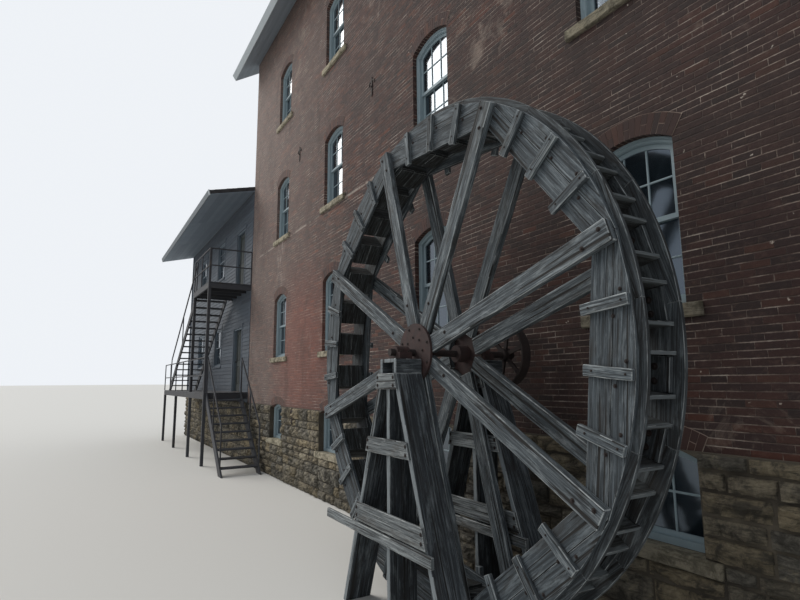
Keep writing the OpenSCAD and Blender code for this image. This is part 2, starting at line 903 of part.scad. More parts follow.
module stair_rails() {
    color(porch_paint) {
        upper_flight() upright(0, rail_w)
            flight_rail(upper_rises, upper_rise, upper_going, balcony_z + fit, rail_w);
        lower_flight() for (y = [0, lower_stair_w - rail_w])
            upright(y, y + rail_w)
                flight_rail(lower_rises, lower_rise, lower_going, deck_z + fit, rail_w);
    }
}

// Water wheel

// Turns an outline drawn round the shaft to face the river, from y0 to y1
module on_wheel(y0, y1) {
    translate([wheel_x, y1, wheel_z]) rotate([90, 0, 0]) linear_extrude(y1 - y0) children();
}

// Repeats an outline round the shaft, once at each of count places
module around(count, turn) {
    for (i = [0:count - 1]) rotate(turn + i * 360 / count) children();
}

// Half an angle's opening as a wedge from the shaft
module wedge(half, reach) {
    polygon([[0, 0], [reach, -reach * tan(half)], [reach, reach * tan(half)]]);
}

// The boards of one sector: straight inside, part of a circle outside, in two planks
module sector_planks() {
    seam = shroud_in + (plank_r - shroud_in) / 2;
    half = 180 / spoke_count;
    for (outer = [0, 1])
        difference() {
            intersection() {
                circle(plank_r, $fn = round_fn);
                translate([outer ? seam + fit : shroud_in, -wheel_r])
                    square([outer ? wheel_r : seam - shroud_in - fit, 2 * wheel_r]);
                wedge(half, 2 * wheel_r);
            }
            for (side = [-1, 1])
                rotate(side * half) translate([0, -plank_gap / 2]) square([wheel_r, plank_gap]);
        }
}

module shroud_planks() {
    color(old_wood) for (y = [near_y, far_y - shroud_t])
        on_wheel(y, y + shroud_t) around(spoke_count, spoke_turn + 180 / spoke_count) sector_planks();
}

// The curved inner layer of both sides, in short segments
module shroud_rims() {
    half = 90 / spoke_count;
    color(old_wood) for (y = [near_y + shroud_t, bucket_y1])
        on_wheel(y, y + shroud_t) around(2 * spoke_count, spoke_turn)
            difference() {
                intersection() {
                    circle(wheel_r, $fn = round_fn);
                    wedge(half, 2 * wheel_r);
                }
                circle(back_r, $fn = round_fn);
                for (side = [-1, 1])
                    rotate(side * half) translate([0, -plank_gap / 2]) square([2 * wheel_r, plank_gap]);
            }
}

module spokes() {
    color(old_wood) for (y = [near_y - spoke_t, far_y])
        on_wheel(y, y + spoke_t) around(spoke_count, spoke_turn)
            translate([spoke_start, -spoke_w / 2]) square([plank_r - spoke_start, spoke_w]);
}

// Battens across the sides between the spokes
module cleats() {
    color(old_wood) for (y = [near_y - cleat_t, far_y])
        on_wheel(y, y + cleat_t)
            for (i = [0:bucket_count - 1])
                if (i % buckets_per_spoke != 0)
                    rotate(spoke_turn + i * bucket_pitch) translate([shroud_in - lap, -cleat_w / 2])
                        square([plank_r - shroud_in + lap, cleat_w]);
}

// A bucket's back board and the two boards that stand out from it
module bucket_boards() {
    back_w = bucket_w + 2 * bucket_t;
    color(old_wood) on_wheel(bucket_y0, bucket_y1) around(bucket_count, spoke_turn) {
        translate([back_r - bucket_t, -back_w / 2]) square([bucket_t, back_w]);
        for (side = [-1, 1]) rotate(side * bucket_half)
            translate([board_r, side > 0 ? 0 : -bucket_t]) square([plank_r - board_r, bucket_t]);
    }
}

// Blocks between a bucket's boards, against the wheel's sides
module bucket_blocks() {
    color(old_wood) for (y = [bucket_y0, bucket_y1 - block_t])
        on_wheel(y, y + block_t) around(bucket_count, spoke_turn)
            intersection() {
                wedge(bucket_half, 2 * wheel_r);
                translate([back_r + fit, -bucket_w]) square([plank_r - back_r - bucket_t, 2 * bucket_w]);
            }
}

// A disc that clamps the spokes' ends, on a boss round the shaft
module hub(disc_y, boss_y0, boss_y1) {
    color(iron) {
        difference() {
            union() {
                on_wheel(disc_y, disc_y + hub_t) circle(hub_r);
                on_wheel(boss_y0, boss_y1) circle(boss_r);
            }
            on_wheel(boss_y0 - lap, boss_y1 + lap) circle(shaft_r);
        }
    }
}

module hubs() {
    hub(near_hub_y, near_hub_y, near_y + 2 * shroud_t);
    hub(far_hub_y, far_y - 2 * shroud_t, far_hub_y + hub_t);
}

module shaft() {
    color(iron) on_wheel(shaft_y0, shaft_y1) circle(shaft_r);
}

module pulley() {
    middle = -pulley_to_wall;
    color(iron) difference() {
        union() {
            on_wheel(middle - pulley_w / 2, middle + pulley_w / 2) difference() {
                circle(pulley_r);
                circle(pulley_r - pulley_rim_t);
            }
            on_wheel(middle - pulley_w / 2, middle + pulley_w / 2) circle(pulley_boss_r);
            on_wheel(middle - pulley_rim_t / 2, middle + pulley_rim_t / 2) around(pulley_spokes, spoke_turn)
                translate([shaft_r + pulley_rim_t, -pulley_rim_t])
                    square([pulley_r - shaft_r - 1.5 * pulley_rim_t, 2 * pulley_rim_t]);
        }
        on_wheel(middle - pulley_w, middle + pulley_w) circle(shaft_r);
    }
}

// Trestles

// The place of a leg's outer face at a height
function leg_x(z) = cap_half + (leg_top - z) * tan(leg_lean);

module leg_outline() {
    polygon([[cap_half - leg_t, leg_top], [cap_half, leg_top], [leg_x(0), 0], [leg_x(0) - leg_t, 0]]);
}

module trestle_rail(z0, z1) {
    polygon([[-leg_x(z0), z0], [leg_x(z0), z0], [leg_x(z1), z1], [-leg_x(z1), z1]]);
}

module trestle(y0) {
    y1 = y0 + trestle_w;
    translate([wheel_x, 0, 0]) {
        block([-cap_half, y0, leg_top + fit], [cap_half, y1, cap_top]);
        for (side = [0, 1]) mirror([side, 0, 0]) upright(y0, y1) leg_outline();
        block([-leg_t / 2, y0, 0], [leg_t / 2, y1, leg_top]);
        upright(y0 - trestle_rail_t, y0 - fit) {
            trestle_rail(leg_top - top_rail_h, leg_top);
            trestle_rail(mid_rail_z, mid_rail_z + mid_rail_h);
            trestle_rail(low_rail_z, low_rail_z + low_rail_h);
        }
        block([-leg_x(0) - long_sill_reach, y0 - trestle_rail_t, long_sill_z],
            [leg_x(long_sill_z) + long_sill_stub, y0 - fit, long_sill_z + long_sill_h]);
    }
}

module trestles() {
    color(old_wood) {
        trestle(near_trestle_y);
        trestle(far_trestle_y);
    }
}

// A block with a bearing for the shaft, on a trestle's cap
module bearing(y0) {
    difference() {
        on_wheel(y0, y0 + bearing_l) {
            translate([-bearing_w / 2, -bearing_h]) square([bearing_w, bearing_h - fit]);
            circle(bearing_r);
        }
        on_wheel(y0 - lap, y0 + bearing_l + lap) circle(shaft_r + bearing_gap);
    }
}

module bearings() {
    color(iron) for (y = [near_trestle_y, far_trestle_y])
        bearing(y + (trestle_w - bearing_l) / 2);
}

foundation_front();
foundation_back();
foundation_ends();
front_wall();
back_wall();
left_gable_wall();
right_gable_wall();
mill_floors();
front_roof();
back_roof();
eave_boards();
stone_sills();
window_frames();
window_sashes();
window_glass();
wing_foundation();
wing_wall_past_door();
wing_wall_by_mill();
wing_wall_over_door();
wing_back_wall();
wing_end_wall();
wing_floors();
wing_front_roof();
wing_back_roof();
door_frames();
lower_door();
upper_door();
porch_posts();
balcony();
porch_rails();
upper_stair();
stair_rails();
deck();
lower_stair();
shroud_planks();
shroud_rims();
spokes();
cleats();
bucket_boards();
bucket_blocks();
hubs();
shaft();
pulley();
trestles();
bearings();
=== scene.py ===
# %% [markdown]
# # A brick watermill, dressed for its picture
#
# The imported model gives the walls, roofs, wheel and stairs in metres. This lesson keeps those
# solids where they are, gives each of them a finish, and adds what is too fine for the solids:
# glazing bars, brick arches, rough stones, lap boards, worn planks, bolts and shingles.

# %% Load the mill
import math
import random
import bpy
from mathutils import Matrix, Vector, noise


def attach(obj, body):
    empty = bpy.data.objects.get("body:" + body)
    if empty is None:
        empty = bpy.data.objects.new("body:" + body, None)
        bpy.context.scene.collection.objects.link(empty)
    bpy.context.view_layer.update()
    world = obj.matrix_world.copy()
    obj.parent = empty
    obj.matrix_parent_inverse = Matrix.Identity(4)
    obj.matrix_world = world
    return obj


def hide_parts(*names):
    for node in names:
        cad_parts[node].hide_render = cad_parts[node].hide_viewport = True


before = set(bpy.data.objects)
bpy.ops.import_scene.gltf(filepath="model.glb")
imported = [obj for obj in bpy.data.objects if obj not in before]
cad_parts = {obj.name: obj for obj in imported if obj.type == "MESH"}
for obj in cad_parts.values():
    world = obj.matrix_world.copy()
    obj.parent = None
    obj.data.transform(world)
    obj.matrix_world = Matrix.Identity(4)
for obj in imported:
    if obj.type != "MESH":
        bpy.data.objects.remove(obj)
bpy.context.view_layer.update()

# %% [markdown]
# ## Sizes that the pieces share
#
# The windows, the wheel and the porch repeat the same few sizes. They are written once here, in
# metres, so that every bar, arch and bolt lands on the solid that carries it.

# %% Sizes
HALF_LENGTH, MILL_DEPTH = 8.42, 11.4
STONE_TOP, STONE_FACE = 1.82, 0.04
WALL_TOP = 13.2
WING_RIGHT, WING_LEFT, WING_DEPTH = -8.42, -19.15, 6.0
WING_MIDDLE, WING_HALF = (WING_RIGHT + WING_LEFT) / 2, (WING_RIGHT - WING_LEFT) / 2
DOOR_X = WING_RIGHT - 1.485
DECK_Z, BALCONY_Z = 2.14, 5.55
WHEEL = Vector((3.825, 0.0, 2.73))
NEAR_Y, FAR_Y = -1.42, -0.90
SPOKES, BUCKETS = 8, 32
SPOKE_TURN = math.radians(16.5)
WHEEL_R, PLANK_R, PLANK_IN, BACK_R = 2.68, 2.62, 2.23, 2.3537
BOARD_T = 0.036
print("wheel at", WHEEL[:], "with", SPOKES, "spokes and", BUCKETS, "buckets")

# %% [markdown]
# ## Short calls for building a finish
#
# A procedural finish is a small tree of nodes. These helpers add a node, join it and return its
# result, so that a finish below reads from top to bottom like a recipe.

# %% Helpers for finishes
def shade(code):
    """A written colour such as 8a4b3c as the linear numbers that the shader uses."""
    parts = [int(code[i:i + 2], 16) / 255 for i in (0, 2, 4)]
    return [p / 12.92 if p <= 0.04045 else ((p + 0.055) / 1.055) ** 2.4 for p in parts] + [1.0]


class NodeTree:
    """The empty tree of a material or a world, and short calls that add nodes to it."""

    def __init__(self, owner):
        owner.use_nodes = True
        self.tree = owner.node_tree
        self.tree.nodes.clear()

    def put(self, socket, value):
        """Joins a node's result to a socket, or writes a number or a colour there."""
        if isinstance(value, bpy.types.NodeSocket):
            self.tree.links.new(value, socket)
        elif value is not None:
            socket.default_value = shade(value) if isinstance(value, str) else value

    def node(self, kind, values, **settings):
        made = self.tree.nodes.new("ShaderNode" + kind)
        for key, value in settings.items():
            setattr(made, key, value)
        for key, value in values.items():
            self.put(made.inputs[key], value)
        return made

    def calc(self, operation, *values):
        return self.node("Math", dict(enumerate(values)), operation=operation).outputs[0]

    def plus(self, one, two):
        return self.calc("ADD", one, two)

    def minus(self, one, two):
        return self.calc("SUBTRACT", one, two)

    def times(self, one, two):
        return self.calc("MULTIPLY", one, two)

    def size_of(self, value):
        return self.calc("ABSOLUTE", value)

    def above(self, value, level):
        return self.calc("GREATER_THAN", value, level)

    def below(self, value, level):
        return self.calc("LESS_THAN", value, level)

    def between(self, value, start, end, most=1.0):
        """Rises from 0 at start to most at end, and stays level outside them."""
        values = {"Value": value, "From Min": start, "From Max": end, "To Max": most}
        return self.node("MapRange", values).outputs[0]


class Finish(NodeTree):
    """A material with a surface, whose colour, roughness and bump the calls below feed."""

    def __init__(self, name, rough=0.8):
        self.material = bpy.data.materials.new(name)
        super().__init__(self.material)
        out = self.tree.nodes.new("ShaderNodeOutputMaterial")
        self.surface = self.tree.nodes.new("ShaderNodeBsdfPrincipled")
        self.set_surface({"Roughness": rough})
        self.tree.links.new(self.surface.outputs[0], out.inputs[0])

    def set_surface(self, values):
        for name, value in values.items():
            self.put(self.surface.inputs[name], value)

    def place(self):
        return self.node("TexCoord", {}).outputs["Object"]

    def facing(self):
        return self.node("NewGeometry", {}).outputs["True Normal"]

    def own_map(self, name):
        """The place in a UV map: grain runs along each plank, and own is one random pair each."""
        return self.node("UVMap", {}, uv_map=name).outputs[0]

    def stretch(self, vector, scale):
        return self.node("Mapping", {"Vector": vector, "Scale": scale}).outputs[0]

    def split(self, vector):
        return self.node("SeparateXYZ", {0: vector}).outputs

    def merge(self, x, y, z=0.0):
        return self.node("CombineXYZ", {0: x, 1: y, 2: z}).outputs[0]

    def noise(self, vector, scale, detail=4.0, rough=0.55, bend=0.0):
        values = {"Vector": vector, "Scale": scale, "Detail": detail, "Roughness": rough,
                  "Distortion": bend}
        return self.node("TexNoise", values).outputs["Fac"]

    def random(self, vector):
        made = self.node("TexWhiteNoise", {"Vector": vector}, noise_dimensions="3D")
        return made.outputs["Value"]

    def ramp(self, factor, stops):
        made = self.node("ValToRGB", {"Fac": factor})
        bar = made.color_ramp
        while len(bar.elements) < len(stops):
            bar.elements.new(0.5)
        for element, (place, colour) in zip(bar.elements, stops):
            element.position = place
            element.color = shade(colour)
        return made.outputs["Color"]

    def mix(self, factor, one, two):
        made = self.node("Mix", {"Factor": factor}, data_type="RGBA")
        self.put(made.inputs[6], one)
        self.put(made.inputs[7], two)
        return made.outputs[2]

    def stain(self, factor, colour, share, tint):
        """Turns a colour towards a tint, by no more than a share of the way."""
        return self.mix(factor, colour, self.mix(share, colour, tint))

    def bump(self, height, distance, strength=1.0):
        values = {"Height": height, "Distance": distance, "Strength": strength}
        self.set_surface({"Normal": self.node("Bump", values).outputs[0]})

    def finish(self, colour, rough=None):
        self.set_surface({"Base Color": colour, "Roughness": rough})
        return self.material


def dress(material, *nodes):
    """Gives CAD nodes a finish."""
    for name in nodes:
        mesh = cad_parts[name].data
        mesh.materials.clear()
        mesh.materials.append(material)
    print(material.name, "on", len(nodes), "nodes")


# %% [markdown]
# ## Brickwork
#
# The walls are too large for modelled bricks, so the bond is worked out in the shader. Each point
# asks which course and which brick it lies in. That pair of numbers picks the brick's own colour,
# and the distance to the brick's edge makes the mortar, which also lies lower in the bump. The
# walls that run along Y take their length from Y, which the face's normal decides.

# %% Brick bond
BRICK_LENGTH, COURSE, JOINT = 0.2275, 0.0647, 0.0095


def wall_place(f):
    """The place along the wall and the height, on walls that face any way."""
    x, y, z = f.split(f.place())
    runs_along_y = f.above(f.size_of(f.split(f.facing())[0]), 0.5)
    return f.plus(x, f.times(runs_along_y, f.minus(y, x))), z


def from_edge(f, places):
    """How far a point is from the nearer end of its brick or course, as a share of the whole."""
    return f.minus(0.5, f.size_of(f.minus(f.calc("FRACT", places), 0.5)))


def brick_bond(f):
    """Numbers the course and the brick, gives the brick two random numbers, and tells it (1) from
    its joint (0)."""
    along, height = wall_place(f)
    ripple = f.times(f.minus(f.noise(f.place(), 1.1, 2.0), 0.5), 0.014)
    courses = f.calc("DIVIDE", f.plus(height, ripple), COURSE)
    row = f.calc("FLOOR", courses)
    shift = f.times(f.calc("FLOORED_MODULO", row, 2.0), 0.5)
    stagger = f.times(f.random(f.merge(row, 7.0)), 0.22)
    lengths = f.plus(f.calc("DIVIDE", along, BRICK_LENGTH), f.plus(shift, stagger))
    brick = f.calc("FLOOR", lengths)
    own = f.random(f.merge(row, brick))
    other = f.random(f.merge(brick, row, 3.0))
    end = f.plus(f.times(from_edge(f, lengths), BRICK_LENGTH), f.times(other, 0.0065))
    edge = f.calc("MINIMUM", end, f.times(from_edge(f, courses), COURSE))
    ragged = f.times(f.minus(f.noise(f.place(), 38.0, 3.0), 0.5), 0.010)
    body = f.between(f.plus(edge, ragged), JOINT / 2 - 0.002, JOINT / 2 + 0.003)
    return row, brick, own, other, body


# %% [markdown]
# A fired brick is never one colour. Each one takes a tone of its own from the ramp, and runs of
# neighbours came hotter or colder out of the kiln. Finer noises wear its face. The joints get a
# ramp too, read in strokes along the courses, because a mason points a stretch of a course at once.

# %% Clay and joints
CLAY_TONES = [(0.0, "2b1f1f"), (0.2, "3a2626"), (0.5, "472b28"), (0.8, "50302b"), (0.95, "5d382e"),
              (1.0, "6b4233")]
JOINT_TONES = [(0.4, "2f2521"), (0.48, "5a4a43"), (0.55, "93847a"), (0.63, "c9bdb1")]


def fired_clay(f, row, brick, own):
    colour = f.ramp(own, CLAY_TONES)
    run = f.noise(f.merge(f.times(brick, 0.37), f.times(row, 1.9)), 1.0, 2.0)
    zone = f.noise(f.place(), 0.33, 3.0)
    hot = f.between(f.plus(f.times(run, 0.7), f.times(zone, 0.3)), 0.56, 0.66)
    colour = f.mix(f.times(hot, 0.7), colour, "84452c")
    cold = f.between(run, 0.42, 0.3)
    return f.mix(f.times(cold, 0.5), colour, "33262a")


def worn_clay(f, colour, grit, face, spall, weather):
    colour = f.mix(f.times(grit, 0.5), colour, "2b1d1b")
    colour = f.stain(f.between(face, 0.52, 0.75), colour, 0.45, "8c6f62")
    colour = f.stain(f.times(f.between(spall, 0.55, 0.66), 0.42), colour, 0.5, "9b7d70")
    colour = f.stain(f.times(f.between(spall, 0.45, 0.36), 0.6), colour, 0.6, "1d1516")
    return f.stain(f.between(weather, 0.48, 0.72), colour, 0.5, "3a322f")


def joint_mortar(f):
    cloud = f.noise(f.place(), 1.9, 6.0, 0.7)
    strokes = f.noise(f.stretch(f.place(), (2.2, 2.2, 17.0)), 1.0, 4.0, 0.6)
    return f.ramp(f.plus(f.times(cloud, 0.5), f.times(strokes, 0.5)), JOINT_TONES)


# %% [markdown]
# The river wall has marks of its own: its left end is paler, which is painted light, its right end,
# behind the wheel, is darker, which is painted shade, and lime has run down below one sill. Masks
# made from X, Y and Z say where each of these lies, and noises break them up.

# %% Painted light, painted shade and lime on the river wall
def river_side(f, x, y):
    """How far a point is on the river wall, and how much painted light and shade lie there."""
    river = f.between(y, 2.4, 0.1)
    bleached_and_painted_light = f.times(river, f.between(x, -1.0, -8.4))
    damp_and_painted_shade = f.times(river, f.between(x, -2.5, 5.5))
    return river, bleached_and_painted_light, damp_and_painted_shade


def lime_streak(f, x, y, z, middle, low, high):
    """Lime that has run down the river wall below a sill."""
    wide = f.between(f.size_of(f.minus(x, middle)), 0.55, 0.1)
    tall = f.times(f.between(z, low, high), f.below(z, high))
    river = f.below(y, 0.05)
    drips = f.noise(f.stretch(f.place(), (9.0, 9.0, 2.2)), 1.0, 5.0, 0.7)
    drips = f.between(drips, 0.5, 0.62)
    return f.times(f.times(wide, tall), f.times(drips, f.times(river, 0.75)))


def lime_line(f, x, y, z, level, left, right):
    """A repaired joint that runs from sill to sill at the second floor."""
    thin = f.between(f.size_of(f.minus(z, level)), 0.035, 0.012)
    reach = f.times(f.above(x, left), f.below(x, right))
    broken = f.between(f.noise(f.place(), 3.1, 5.0, 0.7), 0.44, 0.52)
    river = f.below(y, 0.05)
    return f.times(f.times(thin, reach), f.times(broken, f.times(river, 0.6)))


def round_patch(f, x, z, middle, height, ragged):
    """How near a point is to a round patch of the wall, from 0 to 1."""
    dx, dz = f.plus(x, -middle), f.minus(z, height)
    off = f.calc("SQRT", f.plus(f.calc("POWER", dx, 2.0), f.calc("POWER", dz, 2.0)))
    return f.between(f.minus(off, ragged), 2.1, 0.4)


def wall_weather_and_painted_light(f, colour, body, face, weather):
    x, y, z = f.split(f.place())
    river, bleached_and_painted_light, damp_and_painted_shade = river_side(f, x, y)
    # Painted light: the left end of the river wall is paler.
    colour = f.stain(f.times(bleached_and_painted_light, f.noise(f.place(), 0.8, 4.0)), colour, 0.36, "a58a80")
    colour = f.mix(f.times(bleached_and_painted_light, f.times(face, 0.5)), colour, "b5aaa3")
    rubbed = f.times(river, round_patch(f, x, z, -3.9, 3.1, weather))
    colour = f.stain(f.times(rubbed, 0.45), colour, 0.6, "9c4a35")
    soot = f.noise(f.stretch(f.place(), (1.4, 1.4, 0.5)), 1.1, 6.0, 0.7, 0.5)
    colour = f.stain(f.times(f.between(soot, 0.54, 0.68), 0.55), colour, 0.7, "211b1b")
    # Painted shade: the right end of the river wall, behind the wheel, is darker, most on the
    # bricks.
    damp_and_painted_shade = f.times(damp_and_painted_shade, f.plus(0.44, f.times(weather, 0.5)))
    damp_and_painted_shade = f.times(damp_and_painted_shade, f.plus(0.45, f.times(body, 0.75)))
    colour = f.stain(damp_and_painted_shade, colour, 0.8, "1c0f0d")
    salt = f.times(f.noise(f.place(), 2.6, 6.0, 0.7, 0.6), f.noise(f.place(), 0.35, 2.0))
    colour = f.mix(f.times(f.between(salt, 0.33, 0.45), 0.42), colour, "a8998d")
    speck = f.noise(f.place(), 11.0, 3.0, 0.6)
    colour = f.mix(f.times(f.between(speck, 0.695, 0.745), 0.7), colour, "cfc6ba")
    colour = f.mix(lime_streak(f, x, y, z, -5.5, 4.85, 6.32), colour, "c4b9b2")
    return f.mix(lime_line(f, x, y, z, 6.29, -7.6, 0.6), colour, "b9aea4")


# %% [markdown]
# The finish lays these over each other from the inside out: clay, wear, joints, then weather, with
# painted light and painted shade on the river wall. The bump reads the same numbers as the colour,
# so a dark joint is also a deep one.

# %% Brick finish
def brick_finish():
    f = Finish("wall_brick", 0.9)
    row, brick, own, other, body = brick_bond(f)
    grit = f.noise(f.place(), 75.0, 5.0, 0.65)
    face = f.noise(f.place(), 17.0, 5.0, 0.65)
    spall = f.noise(f.stretch(f.place(), (6.0, 6.0, 10.0)), 1.0, 7.0, 0.78)
    weather = f.noise(f.place(), 0.42, 5.0, 0.6, 0.4)
    colour = worn_clay(f, fired_clay(f, row, brick, own), grit, face, spall, weather)
    colour = f.mix(body, joint_mortar(f), colour)
    colour = wall_weather_and_painted_light(f, colour, body, face, weather)
    proud = f.plus(1.0, f.times(f.minus(other, 0.5), 0.5))
    height = f.plus(f.times(body, proud), f.times(grit, 0.35))
    f.bump(f.minus(height, f.times(spall, 1.2)), 0.011)
    return f.finish(colour, 0.88)


dress(brick_finish(), "front_wall", "back_wall", "left_gable_wall", "right_gable_wall")

# %% [markdown]
# ## Stone, roofing, paint, iron and glass
#
# The base is buff stone with darker beds, the sills are a paler dressed stone. The roof is dark,
# the windows and the porch are painted wood that has weathered, and the iron is rusty. Each one
# mixes two or three noises of different sizes, because one noise alone looks like a printed sheet.

# %% Other finishes for the solids
def stone_finish(name, pale, mid, dark, scale):
    f = Finish(name, 0.92)
    place = f.place()
    coarse = f.noise(place, 2.2 * scale, 6.0, 0.62, 0.4)
    beds = f.noise(f.stretch(place, (3.0, 3.0, 16.0)), scale, 5.0, 0.6)
    colour = f.ramp(coarse, [(0.3, dark), (0.5, mid), (0.72, pale)])
    colour = f.mix(f.times(beds, 0.5), colour, dark)
    pits = f.noise(place, 60.0, 5.0, 0.7)
    f.bump(f.plus(f.times(beds, 0.8), f.times(pits, 0.35)), 0.02)
    return f.finish(colour)


def paint_finish(name, colour, worn, rough=0.6, wear=0.62, wing=None):
    """wing is another paint for what belongs to the timber wing."""
    f = Finish(name, rough)
    place = f.place()
    if wing:
        x, y, z = f.split(place)
        there = f.times(f.below(x, WING_RIGHT - 0.08), f.below(z, 9.75))
        there = f.times(there, f.below(y, WING_DEPTH + 0.4))
        colour = f.mix(there, colour, wing)
        worn = f.mix(there, worn, f.mix(0.5, colour, worn))
    streaks = f.noise(f.stretch(place, (22.0, 22.0, 3.0)), 1.5, 5.0, 0.6)
    patches = f.noise(place, 5.0, 6.0, 0.65)
    both = f.plus(f.times(streaks, 0.5), f.times(patches, 0.5))
    bare = f.between(both, wear, wear + 0.08)
    tint = f.mix(f.times(patches, 0.35), colour, worn)
    f.bump(f.minus(f.times(streaks, 0.5), bare), 0.0015)
    return f.finish(f.mix(bare, tint, worn), f.plus(rough - 0.1, f.times(patches, 0.3)))


def rust_finish(name, tones):
    f = Finish(name, 0.85)
    f.set_surface({"Metallic": 0.15})
    place = f.place()
    blotch = f.noise(place, 9.0, 7.0, 0.68, 0.5)
    colour = f.ramp(blotch, list(zip((0.3, 0.48, 0.62, 0.8), tones)))
    grains = f.noise(place, 120.0, 4.0, 0.7)
    f.bump(f.plus(blotch, f.times(grains, 0.6)), 0.003)
    return f.finish(f.mix(f.times(grains, 0.4), colour, "3a2420"), 0.82)


def glass_finish():
    """Old panes: a little wavy, a little dirty, and bright where they mirror the sky."""
    f = Finish("window_glass", 0.09)
    f.bump(f.noise(f.place(), 3.2, 2.0, 0.4), 0.006, 0.4)
    f.set_surface({"Transmission Weight": 0.25, "IOR": 1.7, "Specular IOR Level": 1.0,
                   "Specular Tint": "c3d8ee", "Coat Weight": 0.5, "Coat Roughness": 0.12})
    dirt = f.noise(f.place(), 11.0, 5.0, 0.6)
    return f.finish(f.mix(f.times(dirt, 0.35), "121a20", "2f3a42"))


BASE_STONE = stone_finish("base_stone", "665f52", "4d473d", "2e2a25", 1.0)
SILL_STONE = stone_finish("sill_stone", "c2b79c", "a89c82", "7d7260", 2.5)
FRAME_PAINT = paint_finish("frame_paint", "8ea0a8", "6c7a81", wing="5c6873")
DOOR_PAINT = paint_finish("door_paint", "3f4a50", "2c3236")
SIDING_PAINT = paint_finish("wing_siding", "474c54", "6a655f", 0.75)
PORCH_WOOD = paint_finish("porch_wood", "322e2c", "544c46", 0.8)
ROOF_BOARDS = paint_finish("roof_boards", "bdc6cc", "8b9295", 0.7, wing="666e75")
ROOF_COVER = stone_finish("roof_cover", "4b4b4d", "3b3b3e", "28282b", 3.0)
FLOOR_WOOD = paint_finish("floor_wood", "5c4a38", "3f342a", 0.7)
RUST = rust_finish("rusty_iron", ("231c1c", "302424", "3d2b29", "513830"))
BOLT_IRON = rust_finish("bolt_iron", ("121112", "1a1817", "251f1d", "3a2c27"))
SHAFT_IRON = rust_finish("shaft_iron", ("141314", "1e1b1b", "2b2322", "40302b"))
GLASS = glass_finish()

dress(BASE_STONE, "foundation_front", "foundation_back", "foundation_ends", "wing_foundation")
dress(SILL_STONE, "stone_sills")
dress(FRAME_PAINT, "window_frames", "window_sashes", "door_frames")
dress(DOOR_PAINT, "lower_door", "upper_door")
dress(SIDING_PAINT, "wing_wall_past_door", "wing_wall_by_mill", "wing_wall_over_door",
      "wing_back_wall", "wing_end_wall")
dress(PORCH_WOOD, "porch_posts", "balcony", "porch_rails", "upper_stair", "stair_rails", "deck",
      "lower_stair")
dress(ROOF_BOARDS, "eave_boards")
dress(ROOF_COVER, "front_roof", "back_roof", "wing_front_roof", "wing_back_roof")
dress(FLOOR_WOOD, "mill_floors", "wing_floors")
dress(RUST, "hubs", "bearings")
dress(SHAFT_IRON, "shaft", "pulley")
dress(GLASS, "window_glass")

# %% [markdown]
# ## Weathered wood
#
# The wheel's planks have lost their paint, or never had any, and have turned silver grey with dark
# cracks along the grain. Grain has to follow each plank, so the planks made below carry a map
# named grain, in metres, with its first direction along the plank. Each plank starts at its own
# place in that map, which gives every plank other knots and streaks. A second map, named edge, is 1
# on the bevelled edges, which are painted pale: partly wear, partly a painted highlight.

# %% Weathered wood finish
def grain_noise(f, along, across, detail, rough, bend):
    """A noise on the grain map that is finer across the grain than along it."""
    spread = f.stretch(f.own_map("grain"), (along, across, 1.0))
    return f.noise(spread, 1.0, detail, rough, bend)


def grain_colour(f, tones, stain, lines, broad, mottle):
    """Dark grain lines in bleached wood, with each plank's own tone and damp stains."""
    dark, deep, bleached_and_painted_light = tones[0], tones[1], tones[3]
    own = f.split(f.own_map("own"))[1]
    mixed = f.plus(f.times(lines, 0.68), f.times(broad, 0.32))
    colour = f.ramp(mixed, list(zip((0.4, 0.475, 0.54, 0.61), tones)))
    shadow = f.mix(lines, dark, deep)
    colour = f.mix(f.times(f.between(broad, 0.42, 0.66), 0.7), colour, shadow)
    colour = f.mix(f.times(own, 0.5), colour, shadow)
    colour = f.mix(f.times(f.between(mottle, 0.5, 0.7), 0.5), colour, bleached_and_painted_light)
    damp_and_painted_shade = grain_noise(f, 1.7, 5.0, 6.0, 0.68, 0.4)
    return f.mix(f.times(f.between(damp_and_painted_shade, 0.52, 0.66), 0.6), colour, stain)


def near_rim(f, mottle):
    """0 inside the wheel and 1 at its outer edge."""
    x, _, z = f.split(f.place())
    dx, dz = f.minus(x, WHEEL.x), f.minus(z, WHEEL.z)
    r = f.calc("SQRT", f.plus(f.times(dx, dx), f.times(dz, dz)))
    r = f.plus(r, f.times(f.minus(mottle, 0.5), 0.12))
    return f.between(r, PLANK_R - 0.045, PLANK_R - 0.005)


